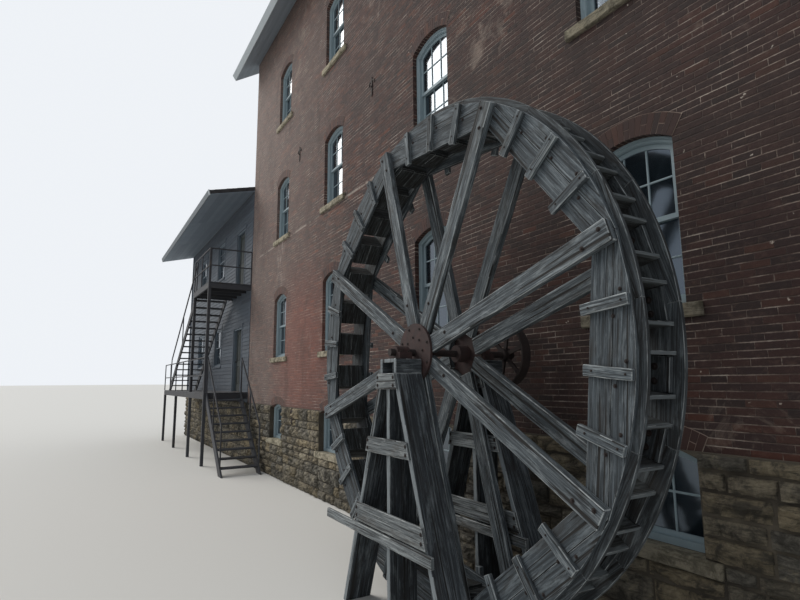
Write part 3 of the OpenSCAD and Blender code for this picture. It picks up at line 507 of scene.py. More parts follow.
def weathered_finish(name, tones, stain, rim=0.0, river=0.0):
    """tones names four colours, from dark grain lines to bleached ones; the palest also paints the
    highlights. rim paints the wheel's outer edge paler, a painted highlight, and river paints what
    faces the river paler, painted light."""
    f, tones = Finish(name, 0.85), tones.split()
    lines = grain_noise(f, 1.6, 75.0, 6.0, 0.75, 0.5)
    broad = grain_noise(f, 0.9, 8.0, 6.0, 0.68, 0.5)
    crack = f.between(grain_noise(f, 0.55, 26.0, 3.0, 0.5, 0.3), 0.4, 0.365)
    check = f.between(grain_noise(f, 1.9, 70.0, 3.0, 0.5, 0.2), 0.375, 0.33, 0.75)
    crack = f.calc("MAXIMUM", crack, check)
    mottle = grain_noise(f, 2.6, 15.0, 7.0, 0.72, 0.3)
    colour = grain_colour(f, tones, stain, lines, broad, mottle)
    # A painted highlight: the wood is paler towards the wheel's outer edge.
    if rim > 0:
        colour = f.mix(f.times(near_rim(f, mottle), rim), colour, tones[3])
    # Painted light: faces that look towards the river are paler.
    if river > 0:
        river_face_light = f.between(f.split(f.facing())[1], -0.5, -0.9)
        colour = f.mix(f.times(river_face_light, river), colour, tones[3])
    # The bevelled edges are painted pale: partly wear, partly a painted highlight.
    edge = f.split(f.own_map("edge"))[0]
    edge = f.times(edge, f.between(mottle, 0.38, 0.55, 0.62))
    colour = f.mix(edge, colour, f.mix(0.35, tones[3], "d3d6d4"))
    colour = f.mix(crack, colour, "100f0e")
    height = f.plus(f.times(lines, 0.8), f.times(broad, 0.35))
    f.bump(f.minus(height, f.times(crack, 1.4)), 0.005)
    return f.finish(colour, 0.85)


WHEEL_WOOD = weathered_finish("wheel_wood", "15191c 363e44 566067 8f999f", "26221e")
SPOKE_WOOD = weathered_finish("spoke_wood", "14171a 3e464c 6d777d aeb7bb", "2b2722")
# The rim wood is darker than the wheel wood: painted shade on the rim.
RIM_WOOD = weathered_finish("rim_wood", "101214 272c30 434a4f 808a8f", "1f1b18")
# The bucket wood is darker still, painted shade inside the buckets, and rim adds a painted
# highlight at the wheel's outer edge.
BUCKET_WOOD = weathered_finish("bucket_wood", "0e0e0e 212322 3c4042 727a7e", "1c1814", rim=0.5)
# river gives the trestle wood painted light on its faces towards the river.
TRESTLE_WOOD = weathered_finish("trestle_wood", "101315 272c31 474f56 8d969b", "1f1c1b", river=0.6)
RAIL_WOOD = weathered_finish("rail_wood", "25282a 555b5e 80878a b4babb", "433c33")

# %% [markdown]
# ## One plank, then many
#
# Every timber of the wheel starts as a cube that is drawn out to its size, cut across into short
# lengths, bevelled, and then worn a little by moving its corners. The finished plank is copied with
# its own mesh for each place it is needed, and the copies of one kind are joined into one piece.

# %% Helpers for timber
rng = random.Random(41)


def deselect():
    bpy.ops.object.select_all(action="DESELECT")


def only(thing):
    deselect()
    thing.select_set(True)
    bpy.context.view_layer.objects.active = thing


def apply_modifiers(thing):
    only(thing)
    for modifier in list(thing.modifiers):
        bpy.ops.object.modifier_apply(modifier=modifier.name)


def wear_edges(thing, width):
    """Adds a bevel of one flat face to the sharp edges."""
    edge = thing.modifiers.new("worn edges", "BEVEL")
    edge.width = width
    edge.segments = 1
    return edge


def show(name, data):
    """Puts a mesh, a lamp or a camera into the scene as an object."""
    thing = bpy.data.objects.new(name, data)
    bpy.context.scene.collection.objects.link(thing)
    return thing


def take_mesh(thing):
    """Removes an object and keeps its mesh."""
    mesh = thing.data
    bpy.data.objects.remove(thing)
    return mesh


def join(things):
    """Joins objects into the first of them."""
    deselect()
    for thing in things:
        thing.select_set(True)
    bpy.context.view_layer.objects.active = things[0]
    if len(things) > 1:
        bpy.ops.object.join()
    return things[0]


def in_edit_mode(thing, *steps):
    """Runs mesh operators, each given with its settings, on all of an object's mesh."""
    only(thing)
    bpy.ops.object.mode_set(mode="EDIT")
    for operator, settings in steps:
        bpy.ops.mesh.select_all(action="SELECT")
        operator(**settings)
    bpy.ops.object.mode_set(mode="OBJECT")


OUTWARDS = (bpy.ops.mesh.normals_make_consistent, {"inside": False})


def map_grain(mesh, along, start):
    """Lays the grain map, with the grain along axis 0, 1 or 2, and a map of the bevelled edges."""
    for name in ("grain", "edge"):
        if name not in mesh.uv_layers:
            mesh.uv_layers.new(name=name)
    layer, edge = mesh.uv_layers["grain"], mesh.uv_layers["edge"]
    others = [a for a in (0, 1, 2) if a != along]
    for face in mesh.polygons:
        tilt = [abs(n) for n in face.normal]
        slanted, on_end = sorted(tilt)[1] > 0.45, tilt[along] > 0.8
        across = others[0] if on_end or tilt[others[1]] > tilt[others[0]] else others[1]
        for corner in face.loop_indices:
            co = mesh.vertices[mesh.loops[corner].vertex_index].co
            layer.data[corner].uv = (co[along] + start[0], co[across] + 0.3 * across + start[1])
            edge.data[corner].uv = (1.0 if slanted else 0.0, 0.0)


def plank(size, cuts=6, bevel=0.004, wear=0.002, along=0):
    """A worn plank centred on the origin, as a mesh, with its grain along X, Y or Z."""
    deselect()
    bpy.ops.mesh.primitive_cube_add(size=1)
    made = bpy.context.object
    made.scale = size
    bpy.ops.object.transform_apply(location=False, rotation=False, scale=True)
    facing = [float(axis == along) for axis in (0, 1, 2)]
    saws = []
    for k in range(cuts):
        middle = [size[along] * ((k + 1) / (cuts + 1) - 0.5) * n for n in facing]
        saws.append((bpy.ops.mesh.bisect, {"plane_co": middle, "plane_no": facing}))
    if cuts:
        in_edit_mode(made, *saws)
    if bevel:
        wear_edges(made, bevel).limit_method = "ANGLE"
        apply_modifiers(made)
    for vertex in made.data.vertices:
        for axis in (0, 1, 2):
            if axis != along:
                vertex.co[axis] += rng.uniform(-wear, wear)
    return take_mesh(made)


def at(x, y, z):
    """Moves a mesh from the origin to a point."""
    return Matrix.Translation((x, y, z))


def wheel_matrix(angle, r, y, tangent=0.0):
    """Places a mesh drawn with X outward from the shaft, Y along the shaft and Z round it."""
    c, s = math.cos(angle), math.sin(angle)
    spot = Vector((WHEEL.x + r * c - tangent * s, y, WHEEL.z + r * s + tangent * c))
    return Matrix(((c, 0, -s, spot.x), (0, 1, 0, spot.y), (s, 0, c, spot.z), (0, 0, 0, 1)))


def map_own(mesh):
    """Gives all of a mesh one random place in a map named own, which picks its tone."""
    layer = mesh.uv_layers.get("own") or mesh.uv_layers.new(name="own")
    layer.data.foreach_set("uv", [rng.random(), rng.random()] * len(mesh.loops))


def gather(name, parts, material, body, replaces=()):
    """Joins placed meshes into one piece that rides on a body."""
    made = []
    for mesh, matrix, along in parts:
        copy = mesh.copy()
        if "own" not in copy.uv_layers:
            map_own(copy)
        if along is not None:
            map_grain(copy, along, (rng.uniform(0, 40), rng.uniform(0, 40)))
        copy.transform(matrix)
        copy.materials.clear()
        copy.materials.append(material)
        made.append(show(name, copy))
    piece = join(made)
    piece.name = name
    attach(piece, body)
    if replaces:
        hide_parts(*replaces)
    print(name, len(parts), "parts,", len(piece.data.polygons), "faces")


# %% [markdown]
# ## Spokes
#
# Eight spokes lie on the outer face of each side of the wheel, with their inner ends clamped under
# the iron disc. They are the longest timbers, so each is made by itself and worn in its own way.

# %% Spokes
SPOKE_IN, SPOKE_W, SPOKE_T = 0.235, 0.175, 0.072
SPOKE_TURNS = [SPOKE_TURN + i * math.tau / SPOKES for i in range(SPOKES)]


def wheel_spokes():
    length = PLANK_R - SPOKE_IN
    parts = []
    for y in (NEAR_Y - SPOKE_T / 2, FAR_Y + SPOKE_T / 2):
        for turn in SPOKE_TURNS:
            mesh = plank((length, SPOKE_T, SPOKE_W), 9, 0.007, 0.0025)
            parts.append((mesh, wheel_matrix(turn, SPOKE_IN + length / 2, y), 0))
    gather("wheel_spokes", parts, SPOKE_WOOD, "wheel", ["spokes"])


wheel_spokes()

# %% [markdown]
# ## The two sides of the wheel
#
# A side is a ring of eight sectors. Each sector has two wide planks: the inner edge is straight, so
# the ring is eight-sided inside, and the outer edge is sawn to a curve. A flat grid gives such a
# plank: its points are slid to the straight edge, the curve and the mitred ends, and a Solidify
# modifier makes it thick.

# %% Planks and rim
END_GAP, SEAM_GAP = 0.0012, 0.0035


def curved_plank(inner, outer, half, nx=12, nz=2):
    """A plank in the plane of the wheel between two edges, which are functions of the angle."""
    deselect()
    bpy.ops.mesh.primitive_grid_add(x_subdivisions=nx, y_subdivisions=nz, size=2)
    made = bpy.context.object
    for vertex in made.data.vertices:
        u, v = vertex.co.x, (vertex.co.y + 1) / 2
        angle = u * half
        low, high = inner(angle), outer(angle)
        r = low + (high - low) * v
        gap = END_GAP * (1 if u > 0.99 else -1 if u < -0.99 else 0)
        vertex.co = (r * math.cos(angle), 0.0, r * math.sin(angle) - gap)
    shell = made.modifiers.new("thickness", "SOLIDIFY")
    shell.thickness = BOARD_T
    shell.offset = 0.0
    edge = wear_edges(made, 0.003)
    edge.limit_method = "ANGLE"
    edge.angle_limit = math.radians(50)
    apply_modifiers(made)
    in_edit_mode(made, OUTWARDS)
    return take_mesh(made)


def straight_edge(r):
    return lambda angle: r / math.cos(angle)


def round_edge(r):
    return lambda angle: r


def sawn_edge(r, seam):
    """The outer edge: round, but never nearer than a finger's width to the seam's corners."""
    return lambda angle: max(r, seam / math.cos(angle) + 0.01)


def wheel_sides():
    half = math.pi / SPOKES
    seam = PLANK_IN + (PLANK_R - PLANK_IN) / 2
    inner = curved_plank(straight_edge(PLANK_IN), straight_edge(seam - SEAM_GAP), half)
    outer = curved_plank(straight_edge(seam + SEAM_GAP), sawn_edge(PLANK_R, seam), half)
    rim = curved_plank(round_edge(BACK_R), round_edge(WHEEL_R), half / 2)
    planks, rims = [], []
    for y in (NEAR_Y + BOARD_T / 2, FAR_Y - BOARD_T / 2):
        for i in range(SPOKES):
            turn = SPOKE_TURN + half + i * 2 * half
            planks += [(mesh, wheel_matrix(turn, 0, y), 2) for mesh in (inner, outer)]
    for y in (NEAR_Y + 1.5 * BOARD_T, FAR_Y - 1.5 * BOARD_T):
        for i in range(2 * SPOKES):
            rims.append((rim, wheel_matrix(SPOKE_TURN + i * half, 0, y), 2))
    gather("wheel_side_planks", planks, WHEEL_WOOD, "wheel", ["shroud_planks"])
    gather("wheel_rim_boards", rims, RIM_WOOD, "wheel", ["shroud_rims"])


wheel_sides()

# %% [markdown]
# ## Battens and buckets
#
# Three battens cross each sector between the spokes, and cover the ends of the bucket boards. A
# bucket is a trough: a back board, two boards that stand out from it, and a block at each end.

# %% Battens and buckets
BATTEN_W, BATTEN_T = 0.082, 0.044
BUCKET_W, BUCKET_T, BLOCK_W = 0.25, 0.028, 0.04
BUCKET_TURNS = [SPOKE_TURN + i * math.tau / BUCKETS for i in range(BUCKETS)]
BATTEN_TURNS = [turn for i, turn in enumerate(BUCKET_TURNS) if i % (BUCKETS // SPOKES)]


def wheel_battens():
    inner = PLANK_IN - 0.02
    length = PLANK_R - inner
    parts = []
    for y in (NEAR_Y - BATTEN_T / 2, FAR_Y + BATTEN_T / 2):
        for turn in BATTEN_TURNS:
            mesh = plank((length, BATTEN_T, BATTEN_W), 3, 0.006, 0.002)
            parts.append((mesh, wheel_matrix(turn, inner + length / 2, y), 0))
    gather("wheel_battens", parts, SPOKE_WOOD, "wheel", ["cleats"])


def wheel_buckets():
    y0, y1 = NEAR_Y + 2 * BOARD_T, FAR_Y - 2 * BOARD_T
    middle, span = (y0 + y1) / 2, y1 - y0
    half = math.atan(BUCKET_W / 2 / BACK_R)
    depth = PLANK_R - BACK_R - 0.004
    back = plank((BUCKET_T, span / 2 - 0.003, BUCKET_W + 2 * BUCKET_T), 3, 0.004, 0.0015, along=2)
    side = plank((depth, span, BUCKET_T), 3, 0.003, 0.0015, along=1)
    end = plank((depth - BUCKET_T, BLOCK_W, BUCKET_W + 0.004), 2, 0.003, 0.0015, along=2)
    back_r, side_r = BACK_R - BUCKET_T / 2, BACK_R + 0.004 + depth / 2
    end_r = BACK_R + 0.002 + (depth - BUCKET_T) / 2
    boards, blocks = [], []
    for turn in BUCKET_TURNS:
        for way in (-1, 1):
            boards.append((back, wheel_matrix(turn, back_r, middle + way * span / 4), 2))
        for way in (-1, 1):
            place = wheel_matrix(turn + way * half, side_r, middle, way * BUCKET_T / 2)
            boards.append((side, place, 1))
        for y in (y0 + BLOCK_W / 2, y1 - BLOCK_W / 2):
            blocks.append((end, wheel_matrix(turn, end_r, y), 2))
    gather("wheel_bucket_boards", boards, BUCKET_WOOD, "wheel", ["bucket_boards"])
    gather("wheel_bucket_blocks", blocks, RIM_WOOD, "wheel", ["bucket_blocks"])


wheel_battens()
wheel_buckets()

# %% [markdown]
# ## Bolts
#
# Iron bolts with round washers hold the spokes, the battens and the trestles. One bolt is made
# from two cylinders with few sides, one for the washer and one for the head, and is copied.

# %% Bolts
def bolt(head=0.015, washer=0.027, tall=0.013):
    """A bolt's head and washer as one mesh. It stands out towards minus Y from the origin."""
    rings = []
    washer_t = 0.004
    for sides, radius, depth, y in ((12, washer, washer_t, -washer_t / 2),
                                    (6, head, tall, -washer_t - tall / 2)):
        deselect()
        bpy.ops.mesh.primitive_cylinder_add(vertices=sides, radius=radius, depth=depth,
                                            rotation=(math.pi / 2, 0, 0))
        ring = bpy.context.object
        ring.location = (0, y, 0)
        bpy.ops.object.transform_apply(location=True, rotation=True, scale=False)
        wear_edges(ring, depth * 0.3)
        apply_modifiers(ring)
        rings.append(ring)
    return take_mesh(join(rings))


BOLT = bolt()
SPOKE_BOLT = bolt(0.012, 0.020, 0.011)
SMALL_BOLT = bolt(0.010, 0.016, 0.009)
NAIL = bolt(0.007, 0.009, 0.004)
LOW_BOLT = bolt(0.011, 0.018, 0.005)
FACE_BACK = Matrix.Rotation(math.pi, 4, "Z")
DISC_T = 0.028


def bolts_at(kind, turn, y, facing, places):
    """Copies of a bolt on the wheel, at distances from the shaft and to the side of a spoke."""
    return [(kind, wheel_matrix(turn, r, y, t) @ facing, None) for r, t in places]


def wheel_bolts():
    on_batten = ((PLANK_R - 0.05, 0.0), (PLANK_IN + 0.06, 0.0))
    by_batten = ((PLANK_R - 0.075, 0.085), (PLANK_R - 0.16, -0.09))
    on_spoke = ((PLANK_R - 0.07, 0.03), (PLANK_R - 0.25, -0.03), (0.56, 0.02))
    on_disc = ((0.268, 0.09), (0.165, -0.16))
    parts = []
    for y, out, facing in ((NEAR_Y, -1, Matrix()), (FAR_Y, 1, FACE_BACK)):
        for turn in BUCKET_TURNS:
            if turn in BATTEN_TURNS:
                parts += bolts_at(NAIL, turn, y + out * BATTEN_T, facing, on_batten)
                parts += bolts_at(SMALL_BOLT, turn, y, facing, by_batten)
            else:
                parts += bolts_at(SPOKE_BOLT, turn, y + out * SPOKE_T, facing, on_spoke)
        for turn in SPOKE_TURNS:
            for r, extra in on_disc:
                face = y + out * (SPOKE_T + DISC_T)
                parts += bolts_at(SMALL_BOLT, turn + extra, face, facing, ((r, 0.0),))
    inside = 2 * BOARD_T + BLOCK_W
    in_block = ((BACK_R + 0.12, -0.055), (BACK_R + 0.12, 0.05))
    for turn in BUCKET_TURNS:
        for y, facing in ((NEAR_Y + inside, FACE_BACK), (FAR_Y - inside, Matrix())):
            parts += bolts_at(BOLT, turn, y, facing, in_block)
    gather("wheel_bolts", parts, BOLT_IRON, "wheel")


wheel_bolts()

# %% [markdown]
# ## Trestles
#
# Each trestle is a pair of leaning legs as wide as planks laid side by side, a post between them,
# a cap and level rails. A leg is an upright plank that is slid sideways as it goes up, which keeps
# its ends level, and a rail is a plank whose ends follow the lean of the legs.

# %% Trestles
CAP_HALF, LEG_TOP, LEG_T, LEAN = 0.165, 2.508, 0.062, math.tan(math.radians(19.3))
TRESTLES = ((-1.845, -1.53), (-0.748, -0.433))


def leg_x(z):
    return CAP_HALF + (LEG_TOP - z) * LEAN


def slid(x, y, z, slope):
    """Places a mesh at a point and slides it along X by slope for each metre that it rises."""
    made = at(x, y, z)
    made[0][2] = slope
    return made


def trestle_cap(y0, y1, parts):
    """Two side boards and a top board round a block that is set back at both ends."""
    tall, side, top = 0.149, 0.045, 0.036
    z = LEG_TOP + 0.001 + tall / 2
    y, width = (y0 + y1) / 2, y1 - y0
    for way in (-1, 1):
        board = plank((side, width, tall), 4, 0.007, 0.003, along=1)
        parts.append((board, at(WHEEL.x + way * (CAP_HALF - side / 2), y, z), 1))
    inner = 2 * (CAP_HALF - side) - 0.002
    board = plank((inner, width, top), 4, 0.004, 0.001, along=1)
    parts.append((board, at(WHEEL.x, y, z + (tall - top) / 2), 1))
    core = plank((inner, width - 0.24, tall - top - 0.002), 2, 0.003, 0.001)
    parts.append((core, at(WHEEL.x, y, z - top / 2), 0))


def wheel_trestles():
    parts, rails, bolts = [], [], []
    for y0, y1 in TRESTLES:
        y, width = (y0 + y1) / 2, y1 - y0
        trestle_cap(y0, y1, parts)
        post = plank((LEG_T, width, LEG_TOP), 8, 0.006, 0.003, along=2)
        parts.append((post, at(WHEEL.x, y, LEG_TOP / 2), 2))
        for way in (-1, 1):
            leg = plank((LEG_T, width, LEG_TOP), 9, 0.007, 0.003, along=2)
            x = WHEEL.x + way * (leg_x(LEG_TOP / 2) - LEG_T / 2)
            parts.append((leg, slid(x, y, LEG_TOP / 2, -way * LEAN), 2))
        for z0, tall in ((LEG_TOP - 0.16, 0.16), (1.69, 0.16), (0.94, 0.19)):
            z = z0 + tall / 2
            rail = plank((2 * leg_x(z), 0.030, tall), 8, 0.005, 0.0015)
            for vertex in rail.vertices:
                vertex.co.x *= leg_x(z + vertex.co.z) / leg_x(z)
            rails.append((rail, at(WHEEL.x, y0 - 0.0163, z), 0))
            for way in (-1, 1):
                for up in (-0.04, 0.04):
                    spot = WHEEL.x + way * (leg_x(z) - LEG_T / 2)
                    bolts.append((LOW_BOLT, at(spot, y0 - 0.0325, z + up), None))
        left, right = -leg_x(0) - 0.4, leg_x(0.82) + 0.06
        sill = plank((right - left, 0.038, 0.10), 12, 0.005, 0.0015)
        rails.append((sill, at(WHEEL.x + (left + right) / 2, y0 - 0.0213, 0.87), 0))
    gather("trestle_timbers", parts, TRESTLE_WOOD, "mill", ["trestles"])
    gather("trestle_rails", rails, RAIL_WOOD, "mill")
    gather("trestle_bolts", bolts, BOLT_IRON, "mill")


wheel_trestles()

# %% [markdown]
# ## Where the windows are
#
# Windows repeat on four brick walls and three timber ones. A wall is a matrix that carries a small
# drawing, made with X along the wall and Y into it, to its place. The list of windows gives a wall,
# a place along it, the height of the sill and the kind, and everything that follows reads it.

# %% Windows
def turned(x, y, degrees):
    return at(x, y, 0) @ Matrix.Rotation(math.radians(degrees), 4, "Z")


WALLS = {
    "front": Matrix(),
    "back": turned(0, MILL_DEPTH, 180),
    "right": turned(HALF_LENGTH, MILL_DEPTH / 2, 90),
    "left": turned(-HALF_LENGTH, MILL_DEPTH / 2, -90),
    "wing_front": turned(WING_MIDDLE, 0, 0),
    "wing_back": turned(WING_MIDDLE, WING_DEPTH, 180),
    "wing_end": turned(WING_LEFT, WING_DEPTH / 2, -90),
}
HOLE = {"tall": (1.0, 1.57, 0.15), "basement": (1.0, 0.80, 0.11), "wing": (1.1, 1.45, 0.0)}
ROWS, HOLE_SILL = (3.1, 6.41, 9.86), 0.96
COLUMNS, END_COLUMNS = (-5.455, -1.95, 1.95, 5.455), (-3.3, 0.0, 3.3)
WINDOWS = [(wall, u, z, "tall") for wall in ("front", "back") for u in COLUMNS for z in ROWS]
WINDOWS += [(wall, u, HOLE_SILL, "basement") for wall in ("front", "back") for u in COLUMNS]
WINDOWS += [("right", u, z, "tall") for u in END_COLUMNS for z in ROWS]
WINDOWS += [("right", u, HOLE_SILL, "basement") for u in END_COLUMNS]
WINDOWS += [("left", u, ROWS[2], "tall") for u in END_COLUMNS]
WINDOWS += [("left", END_COLUMNS[0], z, "tall") for z in ROWS[:2]]
WINDOWS += [("left", END_COLUMNS[0], HOLE_SILL, "basement")]
WING_WINDOW_PLACES = [WING_RIGHT - d - WING_MIDDLE for d in (4.5, 7.9)]
WING_SILLS = (DECK_Z + 0.9, BALCONY_Z + 0.9)
WINDOWS += [("wing_front", u, z, "wing") for u in WING_WINDOW_PLACES for z in WING_SILLS]
WINDOWS += [("wing_back", -u, z, "wing") for u in WING_WINDOW_PLACES for z in WING_SILLS]
WINDOWS += [("wing_end", 0.0, z, "wing") for z in WING_SILLS]
FRAME_W, SASH_W, SASH_T, FRAME_D, REVEAL = 0.062, 0.048, 0.038, 0.13, 0.11
ARCHED = ("tall", "basement")


def reveal(kind):
    """How far a window's frame lies behind the face of its wall."""
    return 0.0 if kind == "wing" else REVEAL


def arch(kind):
    """The radius and the height of the centre of a window's arched head."""
    width, tall, rise = HOLE[kind]
    radius = ((width / 2) ** 2 + rise ** 2) / (2 * rise)
    return radius, tall + rise - radius


def head(kind, x, inset):
    """The height of a window's head at x, for an outline drawn in by inset."""
    if HOLE[kind][2] == 0:
        return HOLE[kind][1] - inset
    radius, centre = arch(kind)
    return centre + math.sqrt((radius - inset) ** 2 - x * x)


def at_window(window):
    wall, u, z = window[:3]
    return WALLS[wall] @ at(u, 0, z)


def at_windows(parts_of, kinds):
    """Copies the small parts of each kind of window to every window of that kind."""
    own = {kind: parts_of(kind) for kind in kinds}
    made = []
    for window in WINDOWS:
        for mesh, local, along in own.get(window[3], ()):
            made.append((mesh, at_window(window) @ local, along))
    return made


print(len(WINDOWS), "windows")

# %% [markdown]
# ## Glazing bars and casings
#
# Each sash has six panes, three across and two high, so it needs two upright bars and one level
# bar. The casing is a moulding that goes up one side, over the arch and down the other. A moulding
# is a grid: one direction follows the opening, and the other follows the moulding's section.

# %% Bars and casings
BAR_W = 0.021


def sheet(nx, ny, place, closed=True):
    """A grid laid on a surface: place gives the point at u and v, which go from 0 to 1."""
    deselect()
    bpy.ops.mesh.primitive_grid_add(x_subdivisions=nx, y_subdivisions=ny, size=2)
    made = bpy.context.object
    for vertex in made.data.vertices:
        vertex.co = place((vertex.co.x + 1) / 2, (vertex.co.y + 1) / 2)
    steps = [(bpy.ops.mesh.remove_doubles, {"threshold": 0.00002})]
    if closed:
        steps.append((bpy.ops.mesh.fill_holes, {"sides": 0}))
    in_edit_mode(made, *steps, OUTWARDS)
    return take_mesh(made)


def glazing_bars(kind):
    """Two upright bars in each sash, and a level one between them."""
    width, tall, rise = HOLE[kind]
    edge = FRAME_W + SASH_W
    light = width - 2 * edge
    middle = (tall + rise) / 2
    y = reveal(kind) + FRAME_D / 2
    if kind == "basement":
        sashes = [(edge, None, y)]
    else:
        sashes = [(middle + SASH_W / 2, None, y - SASH_T / 2),
                  (edge, middle - SASH_W / 2, y + SASH_T / 2)]
    made = []
    for low, high, y in sashes:
        top = head(kind, 0, edge) if high is None else high
        for x in (-light / 6, light / 6):
            end = head(kind, x, edge) if high is None else high
            bar = plank((BAR_W, 0.032, end - low), 0, 0.005, 0.0, along=2)
            made.append((bar, at(x, y, (low + end) / 2), None))
        bar = plank((light, 0.030, BAR_W), 0, 0.005, 0.0)
        made.append((bar, at(0, y, (low + top) / 2), None))
    return made


def swept_casing(kind, section, arc=14):
    """A moulding round a window, from foot to foot over its head. section holds (inset, y)."""
    width = HOLE[kind][0]

    def place(u, v):
        k, j = round(u * (arc + 2)), round(v * len(section)) % len(section)
        inset, y = section[j]
        x = (2 * min(max((k - 1) / arc, 0), 1) - 1) * (width / 2 - inset)
        z = 0.002 if k in (0, arc + 2) else head(kind, x, inset)
        return Vector((x, y, z))

    return sheet(arc + 2, len(section), place)


def casings(kind):
    y = reveal(kind)
    section = [(0.0006, y - 0.034), (0.0006, y - 0.001), (0.054, y - 0.001), (0.054, y - 0.010),
               (0.040, y - 0.016), (0.030, y - 0.016), (0.024, y - 0.030), (0.012, y - 0.034)]
    return [(swept_casing(kind, section), Matrix(), None)]


bars, mouldings = at_windows(glazing_bars, HOLE), at_windows(casings, ARCHED)
gather("window_bars", bars, FRAME_PAINT, "mill")
gather("window_casings", mouldings, FRAME_PAINT, "mill")

# %% [markdown]
# ## Brick arches and stone sills
#
# Over each opening the mason set one ring of bricks on end, pointing at the centre of the arch. A
# brick is a worn block that is drawn in at its foot. A curved band of mortar lies behind the ring
# and hides the level courses. The sills are rough stones with a split face.

# %% Arches and sills
ARCH_RING, ARCH_PITCH, ARCH_JOINT = 0.205, 0.066, 0.006


def mortar_finish():
    f = Finish("arch_mortar", 0.95)
    place = f.place()
    lumps = f.noise(place, 40.0, 5.0, 0.65)
    tone = f.ramp(f.noise(place, 2.3, 4.0), [(0.3, "6b5a52"), (0.5, "96867b"), (0.7, "bdb0a4")])
    f.bump(lumps, 0.004)
    return f.finish(f.mix(f.times(lumps, 0.25), tone, "3a2e2a"))


def arch_brick_finish():
    f = Finish("arch_brick", 0.88)
    tones = [(0.0, "2f2020"), (0.3, "402a27"), (0.6, "4b2e29"), (0.9, "57352c"), (1.0, "684133")]
    colour = f.ramp(f.split(f.own_map("own"))[0], tones)
    grit = f.noise(f.place(), 75.0, 5.0, 0.65)
    colour = f.mix(f.times(grit, 0.5), colour, "2b1d1b")
    x, y, _ = f.split(f.place())
    # Painted light at the left end of the river wall and painted shade at its right end.
    _, bleached_and_painted_light, damp_and_painted_shade = river_side(f, x, y)
    colour = f.mix(f.times(bleached_and_painted_light, 0.25), colour, "a08a82")
    colour = f.stain(f.times(damp_and_painted_shade, 0.7), colour, 0.75, "1b1413")
    f.bump(grit, 0.003)
    return f.finish(colour)


def arch_bricks(kind):
    """A ring of bricks on end, of which every third is two half bricks."""
    radius, centre = arch(kind)
    half = math.asin(HOLE[kind][0] / 2 / radius)
    foot = radius - 0.002
    count = round(2 * half * (radius + ARCH_RING / 2) / ARCH_PITCH)
    pitch = 2 * half / count
    made = []
    for i in range(count):
        turn = Matrix.Rotation(-half + (i + 0.5) * pitch, 4, "Y")
        for low, high in [(0.0, ARCH_RING)] if i % 3 else [(0.0, 0.098), (0.106, ARCH_RING)]:
            brick = plank((1, 1, 1), 0, 0, 0, along=2)
            for vertex in brick.vertices:
                x, y, z = vertex.co
                r = foot + low + (z + 0.5) * (high - low)
                vertex.co = (x * (pitch * r - ARCH_JOINT), 0.046 + y * 0.104, r)
            made.append((brick, at(0, rng.uniform(-0.002, 0.001), centre) @ turn, None))
    return made


def arch_band(kind):
    """The mortar behind the ring, as a band a little wider than the bricks are long."""
    radius, centre = arch(kind)
    half = math.asin(HOLE[kind][0] / 2 / radius) + 0.003
    low, high, front, back = radius - 0.0008, radius + ARCH_RING + 0.004, -0.0035, 0.1
    section = [(low, front), (high, front), (high, back), (low, back)]

    def place(u, v):
        r, y = section[round(v * 4) % 4]
        turn = (2 * u - 1) * half
        return Vector((r * math.sin(turn), y, centre + r * math.cos(turn)))

    return [(sheet(16, 4, place), Matrix(), None)]


ARCH_BRICK, ARCH_MORTAR = arch_brick_finish(), mortar_finish()
ring = at_windows(arch_bricks, ARCHED)
gather("window_arches", ring, ARCH_BRICK, "mill")
band = at_windows(arch_band, ARCHED)
gather("arch_mortar", band, ARCH_MORTAR, "mill")

# %% [markdown]
# ## Rough stones
#
# The base is laid in blocks with split faces. A few block shapes are made at real size: a grid
# whose rim lies back against the wall and whose middle bulges and is broken up by noise. Walls are
# then filled from these shapes: beside the windows in courses of their own, and below them in
# another set, so that the beds don't run through.

# %% Stone blocks
def broken_rock(x, z, seed):
    """Coarse and fine lumps of a split face, from about -1 to 1."""
    lumps = ((1.0, 5, 3.7, 8), (0.7, 13, 5.1, 20), (0.45, 33, 6.3, 40))
    return sum(share * noise.noise(Vector((x * across, seed * other, z * up)))
               for share, across, other, up in lumps)


def stone_block(width, tall, seed, bulge=0.045, rough=0.044, depth=0.04, nx=12, nz=8):
    """A split block round the origin. Its face bulges towards minus Y and its rim is at depth."""
    def spot(k, n, size):
        if k in (0, n):
            return (k / n - 0.5) * size
        return ((k - 1) / (n - 2) - 0.5) * (size - 0.022)

    def place(u, v):
        i, k = round(u * nx), round(v * nz)
        x, z = spot(i, nx, width), spot(k, nz, tall)
        if i in (0, nx) or k in (0, nz):
            return Vector((x, depth, z))
        edge = min(width / 2 - abs(x), tall / 2 - abs(z))
        swell = min(1.0, edge / 0.06)
        broken = broken_rock(x, z, seed)
        out = bulge * (0.2 + 0.8 * swell) + rough * broken * (0.4 + 0.6 * swell)
        return Vector((x + 0.012 * broken, -max(out, 0.004), z - 0.010 * broken))

    return sheet(nx, nz, place, closed=False)


BLOCK_SIZES = [(w, h) for w in (0.32, 0.5, 0.75) for h in (0.14, 0.24, 0.34)]
BLOCKS = {size: [stone_block(*size, seed + 10 * n) for n in range(3)]
          for seed, size in enumerate(BLOCK_SIZES)}
UNDER_SILL = HOLE_SILL - 0.13


